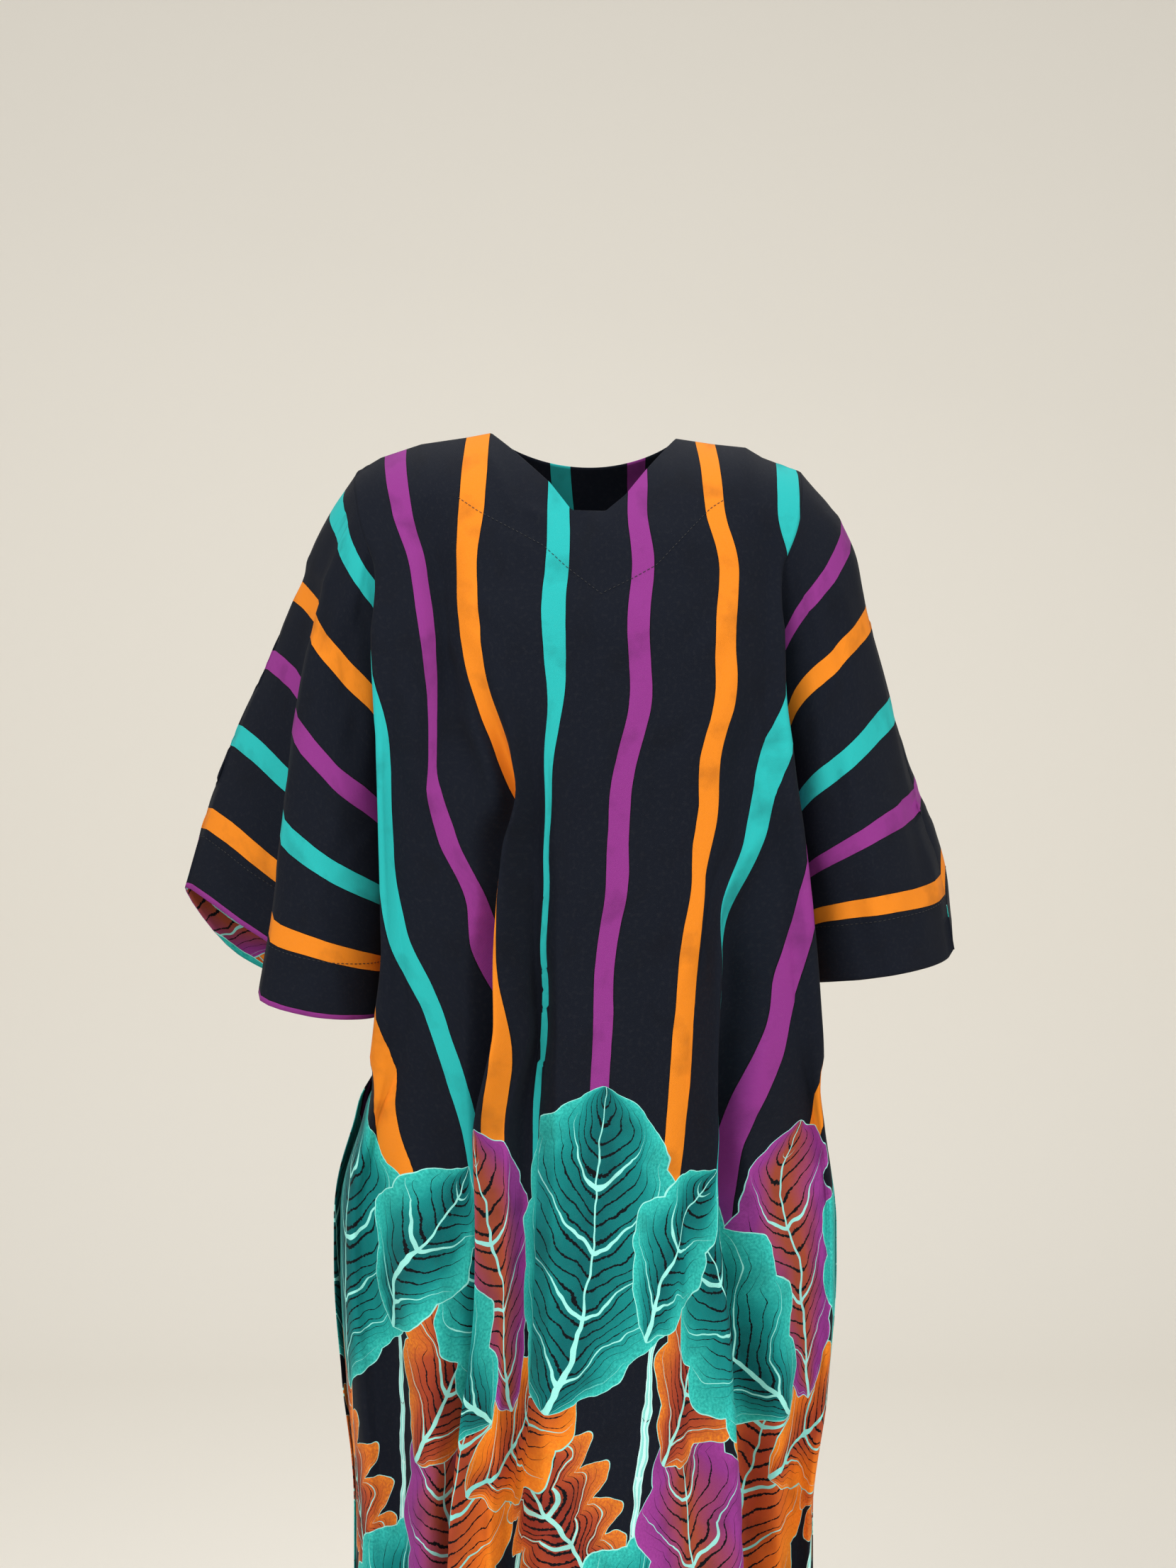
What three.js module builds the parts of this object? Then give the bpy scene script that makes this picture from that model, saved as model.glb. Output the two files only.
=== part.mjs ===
// A wide striped kaftan dress, worn: front and back panels, two wide sleeves, turned cuff facings and
// side-seam pocket bags. Millimetres, +Z up, the front faces -Y, and the wearer's left is at +X. In the
// names here left and right are as seen from the front, so left is at -X. The origin is where the
// shoulders carry the dress, midway between them.
import * as THREE from "three";

const CLOTH_WALL = 2.0;
const FACING_WALL = 1.2;
const SEAM_GAP = 0.3;
const HEM_HEIGHT = -1300;
const STRIPE_PITCH = 77;
const SIDE_SEAM_CUT = 450;
const YOKE_HEIGHT = -150;
const YOKE_ROWS = 6;
const UNDERARM_HEIGHT = -335;
const HOOK_COLUMNS = 3;
const HOOK_SHARE = 0.05;
const FULL_TUCK = 20;
const HALF_TUCK = 6;
const CUFF_BAND = 48;
const BAND_ROWS = 2;

const FRONT = -1;
const BACK = 1;
const LEFT = -1;
const RIGHT = 1;

// A table of rows with named columns; a column that a row has no value for is left out of it.
const table = (names, rows) => rows.map((values) => Object.fromEntries(
  names.split(" ").map((name, k) => [name, values[k]]).filter(([, value]) => value !== null)));

// Where each stripe line of the front lies across the body, a row for each height. A stripe line is
// named for the side it is on and its number from the centre; left and right are the panel's drape
// edges, and cutLeft and cutRight say which place of the flat cut has come to them.
const FRONT_SECTIONS = table("height cutLeft left l4 l3 l2 l1 l0 r0 r1 r2 r3 r4 right cutRight", [
  [5, -250, -214, null, null, -174, -97, -25, 44, 103, 179, null, null, 192, 207],
  [-73, -250, -199, null, null, -160, -100, -25, 42, 109, 173, null, null, 184, 203],
  [-130, -252, -183, null, null, -143, -103, -26, 46, 120, null, null, null, 171, 184],
  [-203, -262, -180, null, null, -133, -100, -26, 43, 119, null, null, null, 168, 183],
  [-281, -283, -177, null, null, -131, -70, -28, 34, 104, 158, null, null, 174, 208],
  [-352, -287, -175, null, -169, -121, -61, -29, 25, 98, 140, null, null, 183, 250],
  [-417, -294, -174, null, -164, -101, -60, -30, 20, 92, 120, 184, null, 190, 283],
  [-506, -346, -181, null, -146, -93, -57, -31, 14, 82, 108, 162, null, 198, 325],
  [-601, -430, -200, -184, -108, -84, -70, -34, 9, 73, 96, 124, 196, 206, 385],
  [-706, -450, -220, -158, -93, -80, -69, -38, 5, 65, 92, 126, 180, 219, 450],
  [-835, -450, -215, -146, -105, -92, -76, -43, 3, 60, 92, 130, 172, 213, 450],
  [-958, -450, -206, -148, -116, -102, -84, -48, 0, 56, 92, 130, 166, 198, 450],
  [-1300, -450, -208, -158, -126, -110, -90, -55, -2, 56, 94, 132, 170, 208, 450],
]);
const STRIPE_LINES = {
  l4: -4.5, l3: -3.5, l2: -2.5, l1: -1.5, l0: -0.5,
  r0: 0.5, r1: 1.5, r2: 2.5, r3: 3.5, r4: 4.5,
};

// How the body is carried in depth at each height: how far forward the middle and the drape edges
// stand, how far back the rear ones do, and how far the side edge is tucked in behind its drape fold.
const BODY_SECTIONS = [
  { height: 5, front: 60, frontEdge: 24, back: 50, backEdge: 24, tuck: 0 },
  { height: -73, front: 96, frontEdge: 62, back: 84, backEdge: 60, tuck: 0 },
  { height: -130, front: 116, frontEdge: 84, back: 98, backEdge: 78, tuck: 6 },
  { height: -203, front: 132, frontEdge: 98, back: 104, backEdge: 92, tuck: 26 },
  { height: -281, front: 134, frontEdge: 104, back: 104, backEdge: 96, tuck: 32 },
  { height: -352, front: 130, frontEdge: 106, back: 102, backEdge: 97, tuck: 34 },
  { height: -417, front: 130, frontEdge: 106, back: 104, backEdge: 98, tuck: 34 },
  { height: -516, front: 134, frontEdge: 98, back: 112, backEdge: 94, tuck: 33 },
  { height: -556, front: 137, frontEdge: 88, back: 118, backEdge: 86, tuck: 12 },
  { height: -601, front: 140, frontEdge: 78, back: 124, backEdge: 78, tuck: 1 },
  { height: -706, front: 146, frontEdge: 66, back: 134, backEdge: 66, tuck: 0 },
  { height: -835, front: 152, frontEdge: 66, back: 140, backEdge: 66, tuck: 0 },
  { height: -958, front: 158, frontEdge: 68, back: 144, backEdge: 68, tuck: 0 },
  { height: -1300, front: 172, frontEdge: 76, back: 152, backEdge: 76, tuck: 0 },
];

// The folds that hang down the front, a row for each fold and height: the middle and width of the
// cloth it takes up, measured on the flat cut, how far it laps sideways, and how far it stands out,
// which is negative where the side nearer the wearer's right lies on top.
const FRONT_FOLDS = {
  leftLap: [
    { height: -150, cut: -110, width: 70, lap: 0, stand: 0 },
    { height: -230, cut: -104, width: 70, lap: 2, stand: 6 },
    { height: -300, cut: -103, width: 68, lap: 8, stand: 14 },
    { height: -360, cut: -126, width: 92, lap: 16, stand: 20 },
    { height: -420, cut: -139, width: 110, lap: 19, stand: 22 },
    { height: -506, cut: -166, width: 132, lap: 21, stand: 25 },
    { height: -601, cut: -192, width: 152, lap: 18, stand: 28 },
    { height: -835, cut: -212, width: 165, lap: 18, stand: 30 },
    { height: -1300, cut: -222, width: 170, lap: 19, stand: 32 },
  ],
  rightLap: [
    { height: -340, cut: 205, width: 80, lap: 0, stand: 0 },
    { height: -417, cut: 196, width: 100, lap: 5, stand: -13 },
    { height: -506, cut: 196, width: 130, lap: 12, stand: -22 },
    { height: -601, cut: 210, width: 148, lap: 15, stand: -27 },
    { height: -706, cut: 236, width: 152, lap: 16, stand: -28 },
    { height: -835, cut: 252, width: 155, lap: 17, stand: -29 },
    { height: -958, cut: 262, width: 155, lap: 17, stand: -30 },
    { height: -1300, cut: 266, width: 160, lap: 18, stand: -31 },
  ],
  leftSide: [
    { height: -560, cut: -350, width: 90, lap: 0, stand: 0 },
    { height: -680, cut: -355, width: 110, lap: 3, stand: 12 },
    { height: -835, cut: -350, width: 120, lap: 4, stand: 16 },
    { height: -1300, cut: -345, width: 130, lap: 5, stand: 18 },
  ],
};
const FRONT_TROUGHS = {
  middle: [
    { height: -230, cut: -70, width: 60, sink: 0 },
    { height: -417, cut: -68, width: 84, sink: 14 },
    { height: -601, cut: -66, width: 92, sink: 24 },
    { height: -1300, cut: -64, width: 96, sink: 30 },
  ],
  leftChest: [
    { height: -60, cut: -158, width: 90, sink: 0 },
    { height: -150, cut: -158, width: 100, sink: 15 },
    { height: -230, cut: -165, width: 100, sink: 16 },
    { height: -330, cut: -190, width: 90, sink: 4 },
    { height: -420, cut: -230, width: 90, sink: 0 },
  ],
  rightChest: [
    { height: -70, cut: 160, width: 70, sink: 0 },
    { height: -150, cut: 162, width: 80, sink: 10 },
    { height: -300, cut: 165, width: 90, sink: 9 },
    { height: -420, cut: 160, width: 80, sink: 0 },
  ],
  rightSide: [
    { height: -520, cut: 318, width: 90, sink: 0 },
    { height: -640, cut: 338, width: 90, sink: 12 },
    { height: -835, cut: 370, width: 90, sink: 14 },
    { height: -1300, cut: 376, width: 100, sink: 18 },
  ],
};

// The back hangs in broad even folds: a row for each height, and the folds deepen to the hem.
const BACK_SECTIONS = [
  { height: 5, left: -214, right: 192, lap: 0, stand: 0 },
  { height: -73, left: -199, right: 184, lap: 0, stand: 0 },
  { height: -130, left: -183, right: 171, lap: 0, stand: 2 },
  { height: -203, left: -184, right: 172, lap: 1, stand: 5 },
  { height: -281, left: -182, right: 178, lap: 3, stand: 9 },
  { height: -352, left: -180, right: 184, lap: 5, stand: 12 },
  { height: -417, left: -180, right: 190, lap: 6, stand: 15 },
  { height: -506, left: -186, right: 198, lap: 8, stand: 18 },
  { height: -601, left: -208, right: 207, lap: 10, stand: 21 },
  { height: -706, left: -226, right: 221, lap: 11, stand: 23 },
  { height: -835, left: -219, right: 214, lap: 12, stand: 24 },
  { height: -958, left: -208, right: 200, lap: 13, stand: 25 },
  { height: -1300, left: -208, right: 208, lap: 14, stand: 27 },
];
const BACK_FOLD_CUTS = [-330, -165, 10, 175, 335];
const BACK_FOLD_WIDTH = 150;

// The shoulder line and the V neck, from the wearer's right shoulder to the left one.
const SHOULDER_LINE = [
  { across: -214, height: -43 }, { across: -204, height: -30 }, { across: -184, height: -18 },
  { across: -163, height: -11 }, { across: -148, height: -6 }, { across: -107, height: 0 },
  { across: -86, height: 4 }, { across: 78, height: -1 }, { across: 111, height: -6 },
  { across: 140, height: -9 }, { across: 155, height: -18 }, { across: 192, height: -32 },
];
const NECK_RIGHT_POINT = { across: -86, height: 4 };
const NECK_LEFT_POINT = { across: 78, height: -1 };
const NECK_V = [NECK_RIGHT_POINT, { across: -66, height: -15 }, { across: -33, height: -48 },
  { across: -14, height: -74 }, { across: 15, height: -75 }, { across: 32, height: -60 },
  { across: 50, height: -36 }, NECK_LEFT_POINT];
const BACK_NECK_DROP = 24;
const CHEST_TURN = 34;
const SHOULDER_TURN = 15;

// Each sleeve's guide lines run from the armhole to the cuff, at the stripe lines of the flat cut.
// A guide leaves the armhole on its front or back at the height given; then its point at each station.
const SLEEVE_STATIONS = [346, 423, 500, 577, 650];
const SLEEVES = {
  sleeve_left: [
    { name: "underarm", on: FRONT, leaves: UNDERARM_HEIGHT,
      points: [[-168, 0, -346], [-170, 0, -380], [-170, 0, -420], [-170, 0, -465], [-170, 0, -500]] },
    { name: "inner", on: FRONT, leaves: -150,
      points: [[-182, -70, -240], [-179, -66, -335], [-178, -66, -405], [-184, -66, -462], [-188, -66, -510]] },
    { name: "front", on: FRONT, leaves: -95,
      points: [[-212, -74, -206], [-216, -84, -303], [-222, -90, -380], [-232, -92, -448], [-238, -92, -506]] },
    { name: "crease", on: FRONT, leaves: -72,
      points: [[-238, -58, -172], [-253, -62, -255], [-266, -66, -344], [-275, -68, -432], [-285, -68, -491]] },
    { name: "tuck", on: FRONT, leaves: -64,
      points: [[-236, -40, -160], [-244, -34, -238], [-250, -32, -322], [-256, -32, -405], [-262, -32, -464]] },
    { name: "flap", on: FRONT, leaves: -56,
      points: [[-246, -22, -148], [-262, -20, -212], [-282, -20, -288], [-300, -20, -364], [-312, -20, -428]] },
    { name: "outer", on: FRONT, leaves: -45,
      points: [[-259, 4, -137], [-284, 8, -196], [-315, 10, -263], [-342, 12, -338], [-360, 12, -400]] },
    { name: "backOuter", on: BACK, leaves: -70,
      points: [[-238, 52, -170], [-262, 66, -240], [-286, 74, -318], [-306, 77, -398], [-323, 77, -464]] },
    { name: "backInner", on: BACK, leaves: -150,
      points: [[-188, 64, -240], [-196, 72, -330], [-206, 76, -400], [-217, 76, -458], [-225, 75, -505]] },
  ],
  sleeve_right: [
    { name: "underarm", on: FRONT, leaves: UNDERARM_HEIGHT,
      points: [[166, 0, -346], [174, 0, -376], [178, 0, -410], [181, 0, -450], [182, 0, -480]] },
    { name: "inner", on: FRONT, leaves: -150,
      points: [[178, -68, -234], [184, -70, -322], [190, -70, -384], [194, -68, -421], [200, -66, -479]] },
    { name: "front", on: FRONT, leaves: -90,
      points: [[214, -72, -198], [226, -84, -284], [240, -90, -352], [252, -92, -410], [262, -90, -471]] },
    { name: "outer", on: FRONT, leaves: -38,
      points: [[245, -32, -163], [263, -40, -245], [283, -46, -326], [304, -48, -401], [315, -46, -458]] },
    { name: "flap", on: BACK, leaves: -42,
      points: [[242, 12, -160], [264, 16, -232], [292, 22, -310], [316, 28, -368], [322, 30, -424]] },
    { name: "backOuter", on: BACK, leaves: -74,
      points: [[226, 58, -180], [242, 72, -258], [262, 82, -334], [278, 86, -398], [286, 84, -452]] },
    { name: "backInner", on: BACK, leaves: -160,
      points: [[188, 66, -240], [194, 74, -324], [202, 78, -390], [206, 76, -436], [210, 72, -482]] },
  ],
};
const SLEEVE_ROWS = 11;
const SLEEVE_TURN = 10;
// How much fuller the sleeves stand over the shoulder, and from what height of the armhole up.
const LEFT_CROWN = 6;
const RIGHT_CROWN = 10;
const CROWN_HEIGHT = -110;
const CROWN_DEPTH = 60;
const UNDERARM_GAP = 8;
const UNDERARM_REACH = 26;
const HIDDEN_GAP = 1.2;

// The pocket bags hang inside the side seams, mouth outwards.
const POCKET = {
  top: -572, bottom: -690, mouthGap: 16, inset: 3.6,
  depth: 120, drop: 52, fullness: 11, sewnEdge: 1.6,
};
const POCKET_AROUND = 14;
const POCKET_RINGS = 6;

const lerp = (from, to, share) => from + (to - from) * share;
const clamp = (value, low, high) => Math.min(high, Math.max(low, value));
const ease = (share) => share * share * (3 - 2 * share);

// Smooth interpolation of one column of a table of points (at, value), which may be unevenly spaced.
function smooth(ats, values, at) {
  const last = ats.length - 1;
  const falling = ats[last] < ats[0];
  const place = falling ? -at : at;
  const xs = falling ? ats.map((value) => -value) : ats;
  if (place <= xs[0]) return values[0];
  if (place >= xs[last]) return values[last];
  let i = 0;
  while (place > xs[i + 1]) i += 1;
  const slope = (k) => (values[k + 1] - values[k]) / (xs[k + 1] - xs[k]);
  const tangent = (k) => {
    if (k === 0) return slope(0);
    if (k === last) return slope(last - 1);
    const before = slope(k - 1);
    const after = slope(k);
    return before * after <= 0 ? 0 : (2 * before * after) / (before + after);
  };
  const span = xs[i + 1] - xs[i];
  const t = (place - xs[i]) / span;
  const near = values[i] + t * span * tangent(i);
  const far = values[i + 1] - (1 - t) * span * tangent(i + 1);
  const blend = ease(t);
  return lerp(near, far, blend);
}

const readRow = (rows, column, height) =>
  smooth(rows.map((row) => row.height), rows.map((row) => row[column]), height);

function polyline(points, across) {
  const end = points.length - 1;
  const place = clamp(across, points[0].across, points[end].across);
  let i = 0;
  while (i < end - 1 && place > points[i + 1].across) i += 1;
  const share = (place - points[i].across) / (points[i + 1].across - points[i].across);
  return lerp(points[i].height, points[i + 1].height, share);
}

// A lap is a fold that turns under itself; a trough is a soft hollow.
function addFolds(point, cut, height, laps, troughs) {
  for (const rows of Object.values(laps)) {
    const [middle, width, lap, stand] = ["cut", "width", "lap", "stand"]
      .map((column) => readRow(rows, column, height));
    const share = (cut - middle) / width;
    if (Math.abs(share) < 0.5) {
      const wave = Math.sin(2 * Math.PI * (share + 0.5)) * Math.sqrt(Math.cos(Math.PI * share));
      point.across += wave * lap;
      point.depth += wave * stand;
    }
  }
  for (const rows of Object.values(troughs)) {
    const [middle, width, sink] = ["cut", "width", "sink"].map((column) => readRow(rows, column, height));
    const share = (cut - middle) / width;
    if (Math.abs(share) < 0.5) point.depth += sink * Math.cos(Math.PI * share) ** 2;
  }
  return point;
}

// Every section of the front is first drawn at the table's own heights, then joined down the cloth.
function frontAcross(share, height) {
  const heights = FRONT_SECTIONS.map((row) => row.height);
  const places = FRONT_SECTIONS.map((row) => {
    const cuts = [row.cutLeft];
    const across = [row.left];
    for (const [line, number] of Object.entries(STRIPE_LINES)) {
      if (row[line] !== undefined) {
        cuts.push(number * STRIPE_PITCH);
        across.push(row[line]);
      }
    }
    cuts.push(row.cutRight);
    across.push(row.right);
    return smooth(cuts, across, lerp(row.cutLeft, row.cutRight, share));
  });
  return smooth(heights, places, height);
}

const shoulderHeight = (across) => polyline(SHOULDER_LINE, across);

// How far the cloth has turned from the top of the shoulder to the chest or the back.
function turned(across, height, turn) {
  return 1 - Math.exp(-Math.max(0, shoulderHeight(across) - height) / turn);
}

function depthAt(side, across, height, left, right) {
  const middle = (left + right) / 2;
  const share = clamp(Math.abs(across - middle) / ((right - left) / 2), 0, 1);
  const name = side === FRONT ? "front" : "back";
  const centre = readRow(BODY_SECTIONS, name, height);
  const edge = readRow(BODY_SECTIONS, `${name}Edge`, height);
  const stand = lerp(centre, edge, share ** 2.6);
  return side * stand * turned(across, height, lerp(CHEST_TURN, SHOULDER_TURN, share));
}

function frontPoint(share, height) {
  const left = readRow(FRONT_SECTIONS, "left", height);
  const right = readRow(FRONT_SECTIONS, "right", height);
  const cutLeft = readRow(FRONT_SECTIONS, "cutLeft", height);
  const cutRight = readRow(FRONT_SECTIONS, "cutRight", height);
  const across = frontAcross(share, height);
  const point = { across, depth: depthAt(FRONT, across, height, left, right) };
  addFolds(point, lerp(cutLeft, cutRight, share), height, FRONT_FOLDS, FRONT_TROUGHS);
  return new THREE.Vector3(point.across, point.depth, height);
}

function backPoint(share, height) {
  const left = readRow(BACK_SECTIONS, "left", height);
  const right = readRow(BACK_SECTIONS, "right", height);
  const cut = lerp(-SIDE_SEAM_CUT, SIDE_SEAM_CUT, share);
  let across = lerp(left, right, share);
  let depth = depthAt(BACK, across, height, left, right);
  for (const [order, middle] of BACK_FOLD_CUTS.entries()) {
    const place = (cut - middle) / BACK_FOLD_WIDTH;
    if (Math.abs(place) >= 0.5) continue;
    const wave = Math.sin(2 * Math.PI * (place + 0.5)) * Math.cos(Math.PI * place);
    const lean = order % 2 === 0 ? 1 : -1;
    across += wave * lean * readRow(BACK_SECTIONS, "lap", height);
    depth -= wave * readRow(BACK_SECTIONS, "stand", height);
  }
  return new THREE.Vector3(across, depth, height);
}

// The edge where a panel meets the sleeve, and below the underarm the other panel. It is tucked in
// behind the drape fold, so the fold hides it.
function tuckedEdge(side, hand, height) {
  const fold = sidePoint(side, hand === LEFT ? 0 : 1, height);
  const tuck = readRow(BODY_SECTIONS, "tuck", height);
  const armhole = clamp((height - UNDERARM_HEIGHT) / 110, 0, 1);
  const seamDepth = side * SEAM_GAP / 2;
  const armholeDepth = fold.y - side * tuck * 1.15;
  const across = fold.x - hand * tuck;
  const depth = lerp(seamDepth, armholeDepth, ease(armhole));
  return new THREE.Vector3(across, depth, height);
}

const sidePoint = (side, share, height) => (
  side === FRONT ? frontPoint(share, height) : backPoint(share, height));

// The turn of the cloth from the tucked edge, round the drape fold, to where the panel lies plain.
function hookPoint(side, hand, place, height) {
  const shareIn = (share) => (hand === LEFT ? share : 1 - share);
  const folded = clamp(readRow(BODY_SECTIONS, "tuck", height) / FULL_TUCK, 0, 1);
  const edge = tuckedEdge(side, hand, height);
  const fold = sidePoint(side, shareIn(lerp(HOOK_SHARE / 2, 0, folded)), height);
  const plain = sidePoint(side, shareIn(HOOK_SHARE), height);
  const pull = fold.clone().multiplyScalar(2).addScaledVector(edge, -0.5).addScaledVector(plain, -0.5);
  const point = edge.multiplyScalar((1 - place) ** 2);
  point.addScaledVector(pull, 2 * place * (1 - place));
  point.addScaledVector(plain, place ** 2);
  point.z = height;
  return point;
}

function panelPoint(side, column, height) {
  if (column.hook !== undefined) return hookPoint(side, column.hand, column.hook, height);
  return sidePoint(side, column.share, height);
}

// The columns of a panel: the two hooked edges, and between them the stretches from corner to corner
// of the neck and shoulders.
function panelColumns(corners, counts) {
  const columns = [];
  for (let i = 0; i < HOOK_COLUMNS; i += 1) columns.push({ hand: LEFT, hook: i / HOOK_COLUMNS });
  corners.slice(1).forEach((corner, k) => {
    for (let i = 0; i < counts[k]; i += 1) columns.push({ share: lerp(corners[k], corner, i / counts[k]) });
  });
  columns.push({ share: 1 - HOOK_SHARE });
  for (let i = HOOK_COLUMNS - 1; i >= 0; i -= 1) columns.push({ hand: RIGHT, hook: i / HOOK_COLUMNS });
  return columns;
}

function panelRows(heights, columns, side, topHeight) {
  const rows = [];
  const tops = columns.map((column) => topHeight(panelPoint(side, column, -20).x));
  for (let i = 0; i < YOKE_ROWS; i += 1) {
    rows.push(columns.map((column, k) => {
      const height = lerp(tops[k], YOKE_HEIGHT, (i / YOKE_ROWS) ** 1.25);
      const point = panelPoint(side, column, height);
      if (i === 0) point.y += side * SEAM_GAP / 2;
      return point;
    }));
  }
  for (const height of heights) rows.push(columns.map((column) => panelPoint(side, column, height)));
  return rows;
}

// The pocket mouths hold the side seams apart.
function openPocket(rows, side) {
  for (const row of rows) {
    for (const [index, hand] of [[0, LEFT], [row.length - 1, RIGHT]]) {
      const point = row[index];
      const place = (point.z - POCKET.bottom) / (POCKET.top - POCKET.bottom);
      if (place <= 0 || place >= 1) continue;
      const gap = POCKET.mouthGap / 2 * Math.sin(Math.PI * place) ** 0.6;
      point.y += side * gap;
      const next = row[index + (hand === LEFT ? 1 : -1)];
      next.y += side * gap * 0.5;
    }
  }
}

// The outward normal at each point of a surface of rows. A ring is joined to itself along its rows.
function surfaceNormals(rows, ring, flip) {
  const width = rows[0].length;
  const across = ring ? width : width - 1;
  const normals = rows.map((row) => row.map(() => new THREE.Vector3()));
  const edgeA = new THREE.Vector3();
  const edgeB = new THREE.Vector3();
  for (let i = 0; i < rows.length - 1; i += 1) {
    for (let j = 0; j < across; j += 1) {
      const next = (j + 1) % width;
      edgeA.subVectors(rows[i + 1][next], rows[i][j]);
      edgeB.subVectors(rows[i][next], rows[i + 1][j]);
      const normal = new THREE.Vector3().crossVectors(edgeA, edgeB).normalize();
      for (const [r, c] of [[i, j], [i + 1, j], [i, next], [i + 1, next]]) normals[r][c].add(normal);
    }
  }
  const outward = flip ? -1 : 1;
  return normals.map((row) => row.map((normal) => normal.normalize().multiplyScalar(outward)));
}

// A closed wall of cloth: the outer face, the same face moved in by the thickness, and the rims.
// A panel's inner face stays on its own side of the seams.
function clothWall({ rows, normals, ring, flip, side }, thickness) {
  const height = rows.length;
  const width = rows[0].length;
  const across = ring ? width : width - 1;
  const positions = [];
  for (const row of rows) for (const point of row) positions.push(point.x, point.y, point.z);
  rows.forEach((row, i) => row.forEach((point, j) => {
    const inner = point.clone().addScaledVector(normals[i][j], -thickness);
    if (side) inner.y = side * Math.max(side * inner.y, SEAM_GAP / 2);
    positions.push(inner.x, inner.y, inner.z);
  }));
  const inner = width * height;
  const index = [];
  const quad = (a, b, c, d, turned = flip) =>
    (turned ? index.push(a, c, b, a, d, c) : index.push(a, b, c, a, c, d));
  for (let i = 0; i < height - 1; i += 1) {
    for (let j = 0; j < across; j += 1) {
      const next = (j + 1) % width;
      const [a, b, c, d] = [i * width + j, (i + 1) * width + j, (i + 1) * width + next, i * width + next];
      quad(a, b, c, d);
      quad(inner + a, inner + b, inner + c, inner + d, !flip);
    }
  }
  for (let j = 0; j < across; j += 1) {
    const next = (j + 1) % width;
    const low = (height - 1) * width;
    quad(j, next, inner + next, inner + j);
    quad(low + next, low + j, inner + low + j, inner + low + next);
  }
  for (let i = 0; !ring && i < height - 1; i += 1) {
    const [a, b] = [i * width, (i + 1) * width];
    quad(b, a, inner + a, inner + b);
    quad(a + width - 1, b + width - 1, inner + b + width - 1, inner + a + width - 1);
  }
  const geometry = new THREE.BufferGeometry();
  geometry.setAttribute("position", new THREE.Float32BufferAttribute(positions, 3));
  geometry.setIndex(index);
  geometry.computeVertexNormals();
  return geometry;
}

function surface(rows, { ring = false, flip = false, side = 0 } = {}) {
  return { rows, ring, flip, side, normals: surfaceNormals(rows, ring, flip) };
}

const cotton = (color) => new THREE.MeshStandardMaterial({ color, roughness: 0.85, metalness: 0 });

function clothMesh(name, geometry, color) {
  const mesh = new THREE.Mesh(geometry, cotton(color));
  mesh.name = name;
  return mesh;
}

// The armhole, as the two panels' own edge points: up the front from the underarm, and down the back.
// Each entry keeps where its point lies in the panels, for the walls to be mitred there.
function armholeEdge(hand) {
  const edgeOf = (panel) => panel.rows.map((row, r) => {
    const c = hand === LEFT ? 0 : row.length - 1;
    return { point: row[c].clone(), shared: [panel.normals[r][c]] };
  });
  const isAbove = ({ point }) => point.z > UNDERARM_HEIGHT + 1;
  const isUnderarm = ({ point }) => Math.abs(point.z - UNDERARM_HEIGHT) <= 1;
  const front = edgeOf(frontPanel);
  const back = edgeOf(backPanel);
  const underarm = front.find(isUnderarm);
  underarm.point.y = 0;
  underarm.shared.push(...back.find(isUnderarm).shared);
  const up = front.filter(isAbove).reverse();
  const down = back.filter(isAbove);
  const top = up[up.length - 1];
  top.point.y = 0;
  top.shared.push(...down[0].shared);
  return [underarm, ...up, ...down.slice(1)];
}

// Which place round the guides a point of the armhole belongs to, from the heights they leave it at.
function guidePlace(guides, point) {
  const top = Math.max(...guides.map((guide) => guide.leaves)) + 1;
  const travel = (on, height) => (
    on === FRONT ? height - UNDERARM_HEIGHT : 2 * top - height - UNDERARM_HEIGHT);
  const stops = guides.map((guide) => travel(guide.on, guide.leaves));
  stops.push(2 * (top - UNDERARM_HEIGHT));
  const at = travel(point.y <= 0 ? FRONT : BACK, Math.min(point.z, top));
  let k = 0;
  while (k < guides.length - 1 && at > stops[k + 1]) k += 1;
  return (k + clamp((at - stops[k]) / (stops[k + 1] - stops[k]), 0, 1)) / guides.length;
}

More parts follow.
